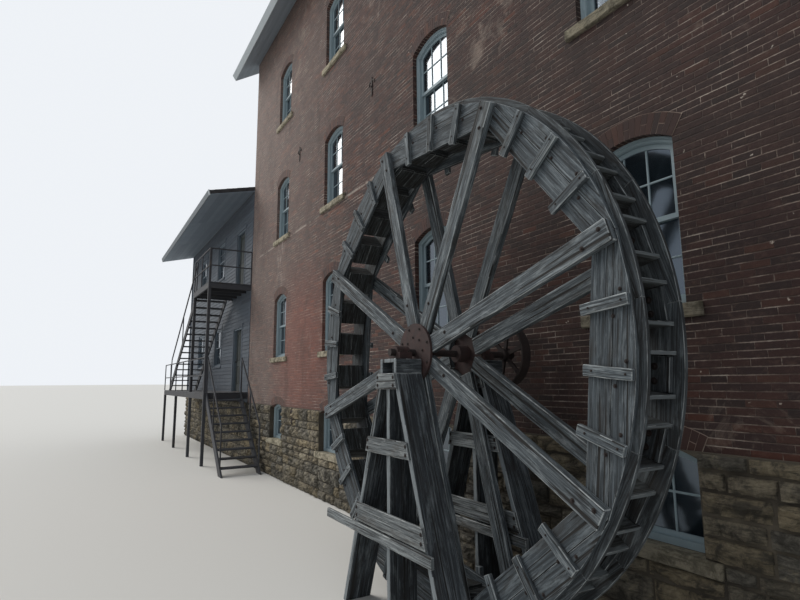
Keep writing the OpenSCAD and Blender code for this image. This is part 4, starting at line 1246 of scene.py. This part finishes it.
def fill_with_stones(wall, u0, u1, z0, z1, face, parts, tallest=0.29):
    """Lays courses of blocks on a wall, from u0 to u1 and from z0 to z1, with its face at face."""
    high = z1 - z0
    courses = max(1, round(high / rng.uniform(0.17, tallest)))
    cuts = sorted(z0 + high * (k + rng.uniform(-0.3, 0.3)) / courses for k in range(1, courses))
    levels = [z0] + cuts + [z1]
    for low, high in zip(levels, levels[1:]):
        u = u0
        while u < u1 - 0.01:
            length = rng.uniform(0.2, 0.68)
            if u1 - u - length < 0.25:
                length = u1 - u
            tall = high - low
            size = min(BLOCK_SIZES, key=lambda s: abs(s[0] - length) + 2 * abs(s[1] - tall))
            joint = rng.uniform(0.006, 0.02)
            scale = Matrix.Diagonal(((length - joint) / size[0], 1, (tall - joint) / size[1], 1))
            out = face + rng.uniform(-0.012, 0.006)
            spot = at(u + length / 2, out, (low + high) / 2)
            parts.append((rng.choice(BLOCKS[size]), WALLS[wall] @ spot @ scale, None))
            u += length


def base_of_wall(wall, u0, u1, parts):
    """Lays a wall's base: one set of courses below the windows, and more between them."""
    places = sorted(w[1] for w in WINDOWS if w[0] == wall and w[3] == "basement")
    under = UNDER_SILL if places else 0.9
    u = u0
    while u < u1 - 0.01:
        end = u1 if u1 - u < 3.2 else u + rng.uniform(1.4, 2.4)
        fill_with_stones(wall, u, end, 0.0, under, -STONE_FACE, parts)
        u = end
    if not places:
        fill_with_stones(wall, u0, u1, under, STONE_TOP, -STONE_FACE, parts)
        return
    sills = [u0] + [p + s * 0.65 for p in places for s in (-1, 1)] + [u1]
    holes = [u0] + [p + s * 0.5 for p in places for s in (-1, 1)] + [u1]
    for k in range(0, len(sills), 2):
        fill_with_stones(wall, *sills[k:k + 2], under, HOLE_SILL, -STONE_FACE, parts)
        fill_with_stones(wall, *holes[k:k + 2], HOLE_SILL, STONE_TOP, -STONE_FACE, parts)


def lay_the_base():
    parts = []
    for wall in ("front", "back"):
        base_of_wall(wall, -HALF_LENGTH - 0.06, HALF_LENGTH + 0.06, parts)
    for wall in ("left", "right"):
        base_of_wall(wall, -MILL_DEPTH / 2 - 0.03, MILL_DEPTH / 2 + 0.03, parts)
    base_of_wall("wing_front", -WING_HALF - 0.06, WING_HALF - 0.06, parts)
    base_of_wall("wing_back", -WING_HALF + 0.06, WING_HALF + 0.06, parts)
    base_of_wall("wing_end", -WING_DEPTH / 2 - 0.03, WING_DEPTH / 2 + 0.03, parts)
    gather("base_stones", parts, STONE_FINISH, "mill")


def block_finish(name, tones, soil):
    """Split stone: each block has one of the tones, with soil in its beds and pits."""
    f = Finish(name, 0.93)
    tones = tones.split()
    own = f.split(f.own_map("own"))[0]
    colour = f.ramp(own, [(k / (len(tones) - 1), tone) for k, tone in enumerate(tones)])
    place = f.place()
    blotch = f.noise(place, 6.5, 7.0, 0.7, 0.5)
    colour = f.stain(f.between(blotch, 0.47, 0.6), colour, 0.85, soil)
    # Pale buff patches where the blotches are low: painted highlights.
    colour = f.mix(f.times(f.between(blotch, 0.45, 0.35), 0.5), colour, "c4b89b")
    beds = f.noise(f.stretch(place, (4.0, 4.0, 34.0)), 1.4, 6.0, 0.7, 0.5)
    colour = f.mix(f.times(f.between(beds, 0.5, 0.66), 0.8), colour, soil)
    pits = f.noise(place, 55.0, 5.0, 0.7)
    colour = f.mix(f.times(f.between(pits, 0.5, 0.7), 0.4), colour, soil)
    x, y, z = f.split(place)
    colour = f.mix(f.times(f.between(z, 0.5, 0.0), 0.45), colour, "2f2c22")
    # Painted shade: the stones darken towards the right end of the river wall.
    damp_and_painted_shade = river_side(f, x, y)[2]
    colour = f.stain(f.times(damp_and_painted_shade, 0.6), colour, 0.75, "1d1b16")
    lumps = f.times(f.noise(f.stretch(place, (7.0, 7.0, 12.0)), 1.0, 6.0, 0.65, 0.4), 1.6)
    f.bump(f.plus(lumps, f.minus(f.times(pits, 0.5), beds)), 0.035)
    return f.finish(colour)


BLOCK_TONES = "7d7a71 9b907a 77756e a4967a 67645c a9a08c"
STONE_FINISH = block_finish("split_stone", BLOCK_TONES, "35322b")
SILL_FINISH = block_finish("split_sill", "b3ab98 c0b8a0 a69f90", "67614f")
lay_the_base()


def sills(kind):
    """A stone sill: a rough front before a plain body."""
    out = 0.055 + (STONE_FACE if kind == "basement" else 0)
    front = stone_block(1.30, 0.13, 31, 0.006, 0.008, 0.03, 16, 5)
    body = plank((1.296, out + REVEAL - 0.012, 0.127), 7, 0.008, 0.002)
    return [(front, at(0, -out + 0.008, -0.065), None),
            (body, at(0, (REVEAL - out + 0.012) / 2, -0.0648), None)]


rough_sills = at_windows(sills, ARCHED)
gather("rough_sills", rough_sills, SILL_FINISH, "mill", ["stone_sills"])

# %% [markdown]
# ## Lap siding on the wing
#
# The timber wing is covered with boards that lap over each other. A board is a thin plank whose top
# edge is planed down, so that its foot stands proud of the board below. Each course is cut where a
# window or a door is, and flat trim boards cover those cuts and the corners.

# %% Siding
WING_EAVE, WING_SLOPE = 8.69, 14.3
LAP_LENGTH, LAP_TALL, LAP_STEP = 3.0, 0.150, 0.128


def free_spans(x0, x1, z0, z1, holes):
    """The stretches from x0 to x1 that no hole (x0, x1, z0, z1) touches between two heights."""
    spans = [(x0, x1)]
    for a, b, low, high in holes:
        if high > z0 and low < z1:
            cut = [p for s, e in spans for p in ((s, min(e, a)), (max(s, b), e))]
            spans = [(s, e) for s, e in cut if e - s > 0.03]
    return spans


def lap_board():
    board = plank((LAP_LENGTH, 0.021, LAP_TALL), 6, 0.002, 0.0008)
    for vertex in board.vertices:
        if vertex.co.z > 0 and vertex.co.y < 0:
            vertex.co.y += 0.015
    return board


DOOR_U, DOOR_HALF, DOOR_TALL = DOOR_X - WING_MIDDLE, 0.537, 2.134
LAPS = [lap_board() for n in range(5)]


def wing_holes(wall):
    width, tall, _ = HOLE["wing"]
    places = [w[1:3] for w in WINDOWS if w[0] == wall]
    holes = [(u - width / 2, u + width / 2, z, z + tall) for u, z in places]
    if wall == "wing_front":
        for z in (DECK_Z, BALCONY_Z):
            holes.append((DOOR_U - DOOR_HALF, DOOR_U + DOOR_HALF, z, z + DOOR_TALL))
    return holes


def side_a_wall(wall, half, gable, parts):
    """Courses of lap boards from the stone base to the eave, or up into a gable."""
    z = STONE_TOP + 0.01
    while z < 9.3:
        top, reach = z + LAP_TALL, half
        if top > WING_EAVE - 0.03:
            if not gable:
                break
            reach = half - (top - WING_EAVE) / math.tan(math.radians(WING_SLOPE)) - 0.02
        for start, end in free_spans(-reach, reach, z, z + LAP_STEP, wing_holes(wall)):
            u = start
            while u < end - 0.01:
                length = min(rng.uniform(2.2, 4.2), end - u)
                if end - u - length < 0.5:
                    length = end - u
                scale = Matrix.Diagonal(((length - 0.002) / LAP_LENGTH, 1, 1, 1))
                spot = at(u + length / 2, -0.011, z + LAP_TALL / 2)
                parts.append((rng.choice(LAPS), WALLS[wall] @ spot @ scale, 0))
                u += length
        z += LAP_STEP


def trim_boards(parts):
    def lay(wall, u0, u1, z0, z1, thick=0.026):
        size = (u1 - u0, thick, z1 - z0)
        along = 0 if size[0] > size[2] else 2
        board = plank(size, 4, 0.003, 0.001, along=along)
        spot = at((u0 + u1) / 2, -thick / 2 - 0.0005, (z0 + z1) / 2)
        parts.append((board, WALLS[wall] @ spot, along))

    for wall in ("wing_front", "wing_back", "wing_end"):
        for u0, u1, z0, z1 in wing_holes(wall):
            door = abs((z1 - z0) - DOOR_TALL) < 0.01
            foot = z0 - (0 if door else 0.02)
            lay(wall, u0 - 0.095, u0 + 0.004, foot, z1 + 0.02)
            lay(wall, u1 - 0.004, u1 + 0.095, foot, z1 + 0.02)
            lay(wall, u0 - 0.12, u1 + 0.12, z1 - 0.004, z1 + 0.11, 0.032)
            if not door:
                lay(wall, u0 - 0.12, u1 + 0.12, z0 - 0.06, z0 + 0.004, 0.05)
    corners = [("wing_front", -WING_HALF), ("wing_back", WING_HALF),
               ("wing_end", -WING_DEPTH / 2), ("wing_end", WING_DEPTH / 2)]
    for wall, u in corners:
        lay(wall, u - 0.06, u + 0.06, STONE_TOP, WING_EAVE - 0.03, 0.028)


def side_the_wing():
    boards, trims = [], []
    side_a_wall("wing_front", WING_HALF, False, boards)
    side_a_wall("wing_back", WING_HALF, False, boards)
    side_a_wall("wing_end", WING_DEPTH / 2, True, boards)
    trim_boards(trims)
    gather("wing_lap_boards", boards, BOARD_PAINT, "mill")
    gather("wing_trim", trims, BOARD_PAINT, "mill")


def painted_board_finish(name, colour, worn, bare, rough=0.7, gone=0.56):
    """Paint over wood grain, with each board a little lighter or darker, worn through in places."""
    f = Finish(name, rough)
    grain = f.own_map("grain")
    own = f.split(f.own_map("own"))
    lines = f.noise(f.stretch(grain, (2.2, 60.0, 1.0)), 1.0, 5.0, 0.6, 0.3)
    patches = f.noise(f.place(), 1.8, 6.0, 0.65, 0.3)
    tint = f.mix(own[0], colour, worn)
    tint = f.mix(f.times(patches, 0.5), tint, worn)
    both = f.plus(f.times(lines, 0.45), f.times(patches, 0.55))
    through = f.between(both, gone, gone + 0.07)
    tint = f.mix(f.times(through, 0.8), tint, bare)
    f.bump(f.minus(lines, f.times(through, 0.5)), 0.002)
    return f.finish(tint, f.plus(rough - 0.1, f.times(patches, 0.3)))


BOARD_PAINT = painted_board_finish("lap_boards", "56606b", "444c56", "74736e", 0.72, 0.60)
side_the_wing()

# %% [markdown]
# ## Roofs
#
# Seen from below a roof is boards, and from above it is shingles. Both slopes are drawn flat, with
# X along the eave, Y up the slope and Z out of it, and a matrix lays the drawing on its slope. One
# course of shingles is modelled in four versions and repeated up the slope.

# %% Roofs
MILL_SLOPE, MILL_EAVE_OUT, MILL_GABLE_OUT = 33.6, 0.6, 0.66
WING_FRONT_OUT, WING_BACK_OUT, WING_GABLE_OUT = 1.4, 0.45, 0.4
ROOF_GAP, SOFFIT_STEP, SHINGLE_STEP, SHINGLE = 0.0003, 0.15, 0.18, 0.36
ROOF_BODY, ROOF_BODY_MIDDLE, SHINGLE_BED = 0.124, 0.087, 0.157


def slope_matrix(angle, eave_out, wall_top, turn):
    """Lays a flat drawing on a slope that passes over the wall's outer top edge."""
    eave_z = wall_top + ROOF_GAP - eave_out * math.tan(math.radians(angle))
    return turn @ (at(0, -eave_out, eave_z) @ Matrix.Rotation(math.radians(angle), 4, "X"))


def shingle_course(length, tab=0.29):
    """A course of loose shingles along X, centred, with its low edge at Y 0, as one mesh."""
    count = round(length / tab)
    wide = length / count
    tabs, pattern = [], plank((wide - 0.006, SHINGLE, 0.010), 0, 0, 0)
    for k in range(count):
        piece = pattern.copy()
        drop, lift = rng.uniform(-0.008, 0.008), rng.uniform(0.0, 0.004)
        for vertex in piece.vertices:
            x, y, z = vertex.co
            rest = 0.5 - y / SHINGLE
            vertex.co = (x + (k + 0.5) * wide - length / 2, y + SHINGLE / 2 + drop,
                         z + SHINGLE_BED + (0.012 + lift) * rest)
        map_own(piece)
        tabs.append(show("tab", piece))
    return take_mesh(join(tabs))


def soffit(matrix, x0, x1, rise):
    """Boards under a slope, in three lengths near the eave, where they show, and one above."""
    rows = round(rise / SOFFIT_STEP)
    wide, made = rise / rows, []
    for k in range(rows):
        pieces = 3 if k < 12 else 1
        part = (x1 - x0) / pieces
        for n in range(pieces):
            board = plank((part - 0.003, wide - 0.004, 0.022), 2, 0.0025, 0.0)
            spot = at(x0 + part * (n + 0.5), wide * (k + 0.5), 0.0112)
            made.append((board, matrix @ spot, 0))
    return made


def roof_body(matrix, x0, x1, rise, slant):
    """The body between soffit and shingles, cut upright where it meets the other slope."""
    body = plank((x1 - x0 - 0.002, rise, ROOF_BODY), 3, 0, 0)
    for vertex in body.vertices:
        vertex.co.y += (vertex.co.y > 0) * (ROOF_BODY_MIDDLE + vertex.co.z) * slant
    return [(body, matrix @ at((x0 + x1) / 2, rise / 2, ROOF_BODY_MIDDLE), 0)]


def shingles(matrix, x0, x1, rise, slant, shift):
    """Courses of shingles up a slope, the last one cut at the ridge, and caps over the ridge."""
    length, middle, made = x1 - x0, (x0 + x1) / 2, []
    ridge = rise + (SHINGLE_BED + shift) * slant
    versions = [shingle_course(length - 0.02) for n in range(4)]
    for k in range(int((ridge - 0.1) / SHINGLE_STEP)):
        foot = 0.005 + k * SHINGLE_STEP
        spot = at(middle + (k % 2 - 0.5) * 0.012, foot, shift)
        course, over = versions[(k * 3 + k // 4) % 4], foot + SHINGLE + 0.01 - ridge
        if over > 0:
            course = course.copy()
            for vertex in course.vertices:
                vertex.co.y = min(vertex.co.y, SHINGLE - over)
        made.append((course, matrix @ spot, None))
    caps, cap_z = 10, SHINGLE_BED + 0.021
    part = length / caps
    for n in range(caps):
        cap = plank((part - 0.004, 0.16, 0.012), 0, 0.002, 0.001)
        spot = at(x0 + part * (n + 0.5), rise + cap_z * slant - 0.092, cap_z + shift)
        made.append((cap, matrix @ spot, None))
    return made


def roof_finish():
    f = Finish("roof_shingles", 0.92)
    own = f.split(f.own_map("own"))
    colour = f.ramp(own[0], [(0.0, "2e2e31"), (0.4, "3c3c40"), (0.8, "4a4a4d"), (1.0, "575350")])
    moss = f.noise(f.place(), 1.4, 6.0, 0.65, 0.4)
    colour = f.mix(f.times(f.between(moss, 0.55, 0.72), 0.4), colour, "45483a")
    grit = f.noise(f.place(), 160.0, 3.0, 0.7)
    f.bump(grit, 0.003)
    return f.finish(f.mix(f.times(grit, 0.5), colour, "232326"))


def lay_roof(name, angle, slopes, shift, paint, replaced):
    """Covers slopes, each given by its matrix, its ends along X and its level reach."""
    boards, core, tiles = [], [], []
    slant = math.tan(math.radians(angle))
    for matrix, x0, x1, reach in slopes:
        rise = reach / math.cos(math.radians(angle))
        boards += soffit(matrix, x0, x1, rise)
        core += roof_body(matrix, x0, x1, rise, slant)
        tiles += shingles(matrix, x0, x1, rise, slant, shift)
    gather(name + "_roof_body", core, ROOF_COVER, "mill", replaced)
    gather(name + "_soffit_boards", boards, paint, "mill")
    gather(name + "_shingles", tiles, SHINGLES, "mill")


def roof_the_mill():
    end = HALF_LENGTH + MILL_GABLE_OUT
    slopes = []
    for turn in (Matrix(), turned(0, MILL_DEPTH, 180)):
        matrix = slope_matrix(MILL_SLOPE, MILL_EAVE_OUT, WALL_TOP, turn)
        slopes.append((matrix, -end, end, MILL_DEPTH / 2 + MILL_EAVE_OUT))
    lay_roof("mill", MILL_SLOPE, slopes, 0.0, SOFFIT_PAINT, ["front_roof", "back_roof"])


def roof_the_wing():
    left, right = WING_LEFT - WING_GABLE_OUT, WING_RIGHT
    behind = turned(0, WING_DEPTH, 180)
    front = slope_matrix(WING_SLOPE, WING_FRONT_OUT, WING_EAVE, Matrix())
    back = slope_matrix(WING_SLOPE, WING_BACK_OUT, WING_EAVE, behind)
    slopes = [(front, left, right, WING_DEPTH / 2 + WING_FRONT_OUT),
              (back, -right, -left, WING_DEPTH / 2 + WING_BACK_OUT)]
    replaced = ["wing_front_roof", "wing_back_roof"]
    lay_roof("wing", WING_SLOPE, slopes, -0.018, WING_SOFFIT, replaced)


SHINGLES = roof_finish()
SOFFIT_PAINT = painted_board_finish("soffit_boards", "aab7c3", "98a5b1", "77777a", 0.7, 0.66)
WING_SOFFIT = painted_board_finish("wing_soffit", "8794a1", "717c88", "57585a", 0.7, 0.64)
roof_the_mill()
roof_the_wing()

# %% [markdown]
# ## Deck and balcony
#
# Both platforms are boards on beams. The boards run along the wing in random lengths, so that no
# two neighbours end at the same place, and joists cross under them from the wing to the outer beam.

# %% Platforms and posts
PORCH_DEPTH, BALCONY_LEFT, DECK_LEFT, RAIL_W = 1.33, -10.92, -17.02, 0.036


def platform(x0, x1, z, parts):
    rows = 9
    wide = PORCH_DEPTH / rows
    for k in range(rows):
        x = x0
        while x < x1 - 0.01:
            length = min(rng.uniform(1.8, 3.6), x1 - x)
            if x1 - x - length < 0.6:
                length = x1 - x
            board = plank((length - 0.004, wide - 0.007, 0.034), 4, 0.004, 0.0015)
            y, top = -PORCH_DEPTH + wide * (k + 0.5), z - 0.0185 + rng.uniform(-0.0015, 0)
            parts.append((board, at(x + length / 2, y, top), 0))
            x += length
    beam = plank((x1 - x0 - 0.002, 0.058, 0.162), 8, 0.004, 0.0015)
    parts.append((beam, at((x0 + x1) / 2, -PORCH_DEPTH + 0.031, z - 0.118), 0))
    joists = round((x1 - x0) / 0.62)
    for n in range(joists + 1):
        joist = plank((0.045, PORCH_DEPTH - 0.065, 0.150), 3, 0.003, 0.001, along=1)
        x = x0 + 0.024 + (x1 - x0 - 0.048) * n / joists
        parts.append((joist, at(x, -(PORCH_DEPTH - 0.062) / 2, z - 0.122), 1))


def porch_platforms():
    for name, x0, z in (("balcony", BALCONY_LEFT, BALCONY_Z), ("deck", DECK_LEFT, DECK_Z)):
        parts = []
        platform(x0, WING_RIGHT - 0.001, z, parts)
        gather(name + "_boards", parts, PORCH_BOARDS, "mill", [name])


def porch_posts():
    y, under, parts = -PORCH_DEPTH + 0.045, 0.2, []
    inner = (WING_RIGHT - 0.045, BALCONY_LEFT + 0.045)
    outer = ((BALCONY_LEFT + DECK_LEFT) / 2, DECK_LEFT + 0.045)
    for xs, z0, z1 in ((inner + outer, 0.0, DECK_Z - under), (inner, DECK_Z, BALCONY_Z - under)):
        for x in xs:
            post = plank((0.088, 0.088, z1 - z0), 7, 0.006, 0.0015, along=2)
            parts.append((post, at(x, y, (z0 + z1) / 2), 2))
            shoe = plank((0.128, 0.088, 0.012), 0, 0.003, 0.0)
            aside = 0.019 if x > WING_RIGHT - 0.1 else 0
            parts.append((shoe, at(x - aside, y, z0 + 0.006), 0))
    gather("porch_post_timbers", parts, PORCH_BOARDS, "mill", ["porch_posts"])


def painted_wood(name, colour, worn, bare):
    return painted_board_finish(name, colour, worn, bare, 0.75, 0.57)


PORCH_BOARDS = painted_wood("porch_boards", "41444a", "303135", "5c564f")
porch_platforms()
porch_posts()

# %% [markdown]
# ## Railings and stairs
#
# The railings are level bars on short posts. A stair's two strings are planks that slope: each one
# is made level, has its foot cut on the slant, and is then slid down along its length, which keeps
# its end upright and its foot flat on the ground. Treads and handrails follow the same slope.

# %% Railings and stairs
RAIL_TALL, STAIR_W = 1.08, 1.06


def rail_run(place, length, bays, parts):
    """Two bars and their posts along X from a corner, placed by a matrix."""
    for z in (RAIL_TALL - RAIL_W / 2, 0.522):
        bar = plank((length, RAIL_W - 0.002, RAIL_W), 6, 0.004, 0.001)
        parts.append((bar, place @ at(length / 2, RAIL_W / 2, z), 0))
    pitch, under = (length - RAIL_W) / bays, RAIL_TALL - RAIL_W
    for n in range(bays + 1):
        post = plank((RAIL_W, RAIL_W, under - 0.001), 3, 0.004, 0.001, along=2)
        parts.append((post, place @ at(n * pitch + RAIL_W / 2, RAIL_W / 2, under / 2), 2))


def porch_railings():
    parts = []
    edge, width = -PORCH_DEPTH, WING_RIGHT - BALCONY_LEFT
    rail_run(at(BALCONY_LEFT, edge, BALCONY_Z), width, 2, parts)
    side = at(WING_RIGHT, edge + RAIL_W, BALCONY_Z) @ Matrix.Rotation(math.pi / 2, 4, "Z")
    rail_run(side, PORCH_DEPTH - RAIL_W, 1, parts)
    rail_run(at(DECK_LEFT, edge, DECK_Z), BALCONY_LEFT - DECK_LEFT, 4, parts)
    rail_run(at(BALCONY_LEFT + 0.09, edge, DECK_Z), width - 0.18, 1, parts)
    gather("railing_bars", parts, PORCH_BOARDS, "mill", ["porch_rails"])


def cut_below(mesh, point, normal):
    """Cuts away what lies behind a plane and closes the cut."""
    made = show("cut", mesh)
    settings = {"plane_co": point, "plane_no": normal, "use_fill": True, "clear_inner": True}
    in_edit_mode(made, (bpy.ops.mesh.bisect, settings))
    return take_mesh(made)


def stair(name, x0, way, top, bottom, rises, going, rail_sides):
    """A stair from a landing's edge at x0, going down towards way along X."""
    y0, string_t, string_h = -PORCH_DEPTH + 2 * RAIL_W, 0.045, 0.24
    tread_t, tread_d, tread_out = 0.042, 0.26, 0.02
    rise = (top - bottom) / rises
    slope = rise / going
    plumb = string_h * math.sqrt(1 + slope * slope)
    run = (top - bottom) / slope
    parts, rails = [], []

    def sloped(x, y, z):
        """Places a mesh drawn level, and slides each part of it down along the stair."""
        made = at(x0 + way * x, y, z - slope * x)
        made[2][0] = -way * slope
        return made

    for y in (y0 + string_t / 2, y0 + STAIR_W - string_t / 2):
        board = plank((run, string_t, plumb), 10, 0.004, 0.0015)
        cut_below(board, (run / 2 * way, 0, plumb / 2), (-way * slope, 0, 1))
        parts.append((board, sloped(run / 2, y, top - plumb / 2), 0))
    for n in range(1, rises):
        tread = plank((tread_d, STAIR_W - 2 * string_t - 0.001, tread_t), 3, 0.009, 0.001, along=1)
        x = x0 + way * (n * going + tread_out - tread_d / 2)
        parts.append((tread, at(x, y0 + STAIR_W / 2, top - n * rise - tread_t / 2), 1))
    reach = (rises - 1) * going
    for y in rail_sides:
        for x in (RAIL_W / 2, reach / 2 + RAIL_W / 2, reach - RAIL_W / 2):
            post = plank((RAIL_W, RAIL_W - 0.001, 1.04), 3, 0.004, 0.001, along=2)
            rails.append((post, sloped(x, y0 + y, top + 0.52), 2))
        bar = plank((reach, RAIL_W, 2 * RAIL_W), 9, 0.006, 0.001)
        rails.append((bar, sloped(reach / 2, y0 + y, top + RAIL_TALL - RAIL_W), 0))
    gather(name + "_timbers", parts, PORCH_BOARDS, "mill", [name])
    return rails


def porch_stairs():
    front, back = RAIL_W / 2, STAIR_W - RAIL_W / 2
    rails = stair("upper_stair", BALCONY_LEFT, -1, BALCONY_Z, DECK_Z, 16, 0.33, (front,))
    rails += stair("lower_stair", WING_RIGHT, 1, DECK_Z, 0.0, 10, 0.24, (front, back))
    gather("stair_handrails", rails, PORCH_BOARDS, "mill", ["stair_rails"])


porch_railings()
porch_stairs()

# %% [markdown]
# ## Doors
#
# A door is framed from stiles and rails with four raised panels let into it, all no thicker than
# the solid leaf that it replaces. The knobs are turned: a grid is wrapped round the knob's outline.

# %% Doors
def turned_knob():
    """A rose, a neck and a round grip along minus Y from the origin."""
    outline = [(0.0, 0.0), (0.033, 0.0), (0.033, 0.003), (0.028, 0.007), (0.011, 0.009),
               (0.010, 0.026), (0.017, 0.030), (0.0235, 0.040), (0.022, 0.050), (0.014, 0.057),
               (0.0, 0.059)]

    def place(u, v):
        r, y = outline[round(v * (len(outline) - 1))]
        return Vector((r * math.cos(u * math.tau), -y, r * math.sin(u * math.tau)))

    return sheet(20, len(outline) - 1, place)


def door_leaf(prefix, z, body, node):
    middle = Vector((DOOR_X, 0.1075, z + 0.007))
    half, tall, thick, stile, post = 0.47, 2.06, 0.045, 0.115, 0.05
    parts = []

    def lay(x0, x1, z0, z1, t=thick - 0.001, bevel=0.002, along=2):
        board = plank((x1 - x0, t, z1 - z0), 3, bevel, 0.0004, along=along)
        spot = middle + Vector(((x0 + x1) / 2, 0, (z0 + z1) / 2))
        parts.append((board, at(*spot), along))

    for way in (-1, 1):
        x = way * (half - stile / 2)
        lay(x - stile / 2, x + stile / 2, 0, tall)
    rails = [(0.0, 0.23), (0.84, 1.0), (1.93, tall)]
    for z0, z1 in rails:
        lay(-half + stile, half - stile, z0, z1, along=0)
    for (_, z0), (z1, _) in zip(rails, rails[1:]):
        lay(-post, post, z0, z1)
        for way in (-1, 1):
            x0, x1 = sorted((way * post, way * (half - stile)))
            lay(x0, x1, z0, z1, 0.016, 0.0)
            lay(x0 + 0.035, x1 - 0.035, z0 + 0.035, z1 - 0.035, 0.034, 0.010)
    gather(prefix + "_leaf", parts, DOOR_BOARDS, body, [node])
    knob = turned_knob()
    spot = middle + Vector((-half + 0.075, 0, 0.993))
    outer, inner = (at(*(spot + Vector((0, y, 0)))) for y in (-thick / 2, thick / 2))
    knobs = [(knob, outer, None), (knob, inner @ FACE_BACK, None)]
    gather(prefix + "_knobs", knobs, DARK_IRON, body)


def dark_iron_finish():
    f = Finish("dark_iron", 0.5)
    f.set_surface({"Metallic": 0.75})
    place = f.place()
    blotch = f.noise(place, 30.0, 5.0, 0.65)
    f.bump(blotch, 0.0008)
    colour = f.ramp(blotch, [(0.35, "1d1b1b"), (0.6, "332e2b"), (0.8, "4d3a30")])
    return f.finish(colour, f.plus(0.35, f.times(blotch, 0.4)))


DOOR_BOARDS = painted_wood("door_boards", "353d3d", "2a3030", "5b5344")
DARK_IRON = dark_iron_finish()
door_leaf("lower_door", DECK_Z, "door", "lower_door")
door_leaf("upper_door", BALCONY_Z, "mill", "upper_door")

# %% [markdown]
# ## Wall anchors and bearing bolts
#
# Iron rods tie the brick walls to the floors, and each rod ends outside in a flat anchor: a bar
# with two curled arms under a nut. The arms are bent strips, made as sheets that follow an arc.

# %% Anchors
ANCHORS = ((-0.07, 8.2), (-4.15, 8.35), (-4.08, 1.62))


def strip(points, width, thick):
    """A flat bar that follows points in X and Z. It stands out towards minus Y and tapers."""
    n = len(points) - 1

    def place(u, v):
        k, corner = round(u * n), round(v * 4) % 4
        a, b = points[max(k - 1, 0)], points[min(k + 1, n)]
        along = Vector((b[0] - a[0], 0, b[1] - a[1])).normalized()
        across = Vector((-along.z, 0, along.x)) * width / 2 * (0.55 + 0.45 * math.sin(math.pi * u))
        side = across if corner in (0, 1) else -across
        return Vector((points[k][0], -thick if corner in (1, 2) else 0.0, points[k][1])) + side

    return sheet(n, 4, place)


def wall_anchors():
    curl = 0.055

    def arc(way, up):
        turn = [k / 10 * math.pi * 1.15 for k in range(11)]
        return [(way * (curl - curl * math.cos(t)), up * (0.02 + curl * math.sin(t)))
                for t in turn]

    bar = strip([(0, -0.2 + 0.04 * k) for k in range(11)], 0.05, 0.016)
    arms = [strip(arc(way, 1), 0.034, 0.014) for way in (-1, 1)]
    parts = []
    for x, z in ANCHORS:
        y = -STONE_FACE - 0.035 if z < STONE_TOP else 0.0
        here = at(x, y, z)
        parts.append((bar, here, None))
        for arm in arms:
            parts.append((arm, here @ at(0, 0, 0.05), None))
        parts.append((BOLT, here @ at(0, -0.016, 0), None))
    gather("wall_anchors", parts, SHAFT_IRON, "mill")


def bearing_bolts():
    parts = []
    for y0, y1 in TRESTLES:
        for way in (-1, 1):
            for y in (-0.045, 0.045):
                spot = at(WHEEL.x + way * 0.088, (y0 + y1) / 2 + y, WHEEL.z - 0.0003)
                parts.append((SMALL_BOLT, spot @ Matrix.Rotation(-math.pi / 2, 4, "X"), None))
    gather("bearing_bolts", parts, DARK_IRON, "mill")


wall_anchors()
bearing_bolts()

# %% [markdown]
# ## Floor, light and camera
#
# The floor and the world are pale and plain. The world gives most of the light, as an overcast sky
# does, and a wide soft sun from the left adds a little shape. The camera stands low beside the
# wheel and looks back along the wall.

# %% Stage
def lay_floor():
    deselect()
    bpy.ops.mesh.primitive_plane_add(size=3000, location=(0, 0, -0.002))
    floor = bpy.context.object
    floor.name = "floor"
    floor.data.materials.append(Finish("floor_pale", 0.9).finish("d9d9d6"))


def light_the_world():
    """A sky that is brighter where it is seen, mirrored or looked through than as a light."""
    world = bpy.data.worlds.new("sky")
    bpy.context.scene.world = world
    w = NodeTree(world)
    ray = w.node("LightPath", {}).outputs
    seen = w.calc("MAXIMUM", ray["Is Camera Ray"], ray["Is Glossy Ray"])
    seen = w.calc("MAXIMUM", seen, ray["Is Transmission Ray"])
    sky = w.node("Background", {"Color": (0.86, 0.89, 0.93, 1), "Strength": 1.0}).outputs[0]
    light = w.node("Background", {"Color": (0.93, 0.96, 1.0, 1), "Strength": 0.56}).outputs[0]
    both = w.node("MixShader", {0: seen, 1: light, 2: sky}).outputs[0]
    w.node("OutputWorld", {"Surface": both})


def hang_sun():
    lamp = bpy.data.lights.new("soft_sun", "SUN")
    lamp.energy = 1.9
    lamp.angle = math.radians(35)
    lamp.color = (1.0, 0.95, 0.88)
    towards = Vector((0.85, 0.5, -0.7)).normalized()
    show("soft_sun", lamp).rotation_euler = towards.to_track_quat("-Z", "Y").to_euler()


def set_camera():
    """The photograph's view, with a focal length of 540 on a frame 800 wide."""
    focal, frame_width, sensor = 540, 800, 36.0
    lens = bpy.data.cameras.new("camera")
    lens.sensor_width = sensor
    lens.lens = sensor * focal / frame_width
    lens.clip_end = 4000
    camera = show("camera", lens)
    yaw, pitch, roll = (math.radians(a) for a in (59.41, 8.64, -0.37))
    level = Vector((math.cos(yaw), math.sin(yaw), 0))
    ahead = Vector((-math.sin(yaw) * math.cos(pitch), math.cos(yaw) * math.cos(pitch),
                    math.sin(pitch)))
    up = level.cross(ahead)
    right = math.cos(roll) * level + math.sin(roll) * up
    top = math.cos(roll) * up - math.sin(roll) * level
    spot = (8.745, -4.6, 2.42)
    rows = [[right[i], top[i], -ahead[i], spot[i]] for i in range(3)]
    camera.matrix_world = Matrix(rows + [[0, 0, 0, 1]])
    bpy.context.scene.camera = camera


lay_floor()
light_the_world()
hang_sun()
set_camera()
bpy.context.scene.view_settings.view_transform = "Standard"
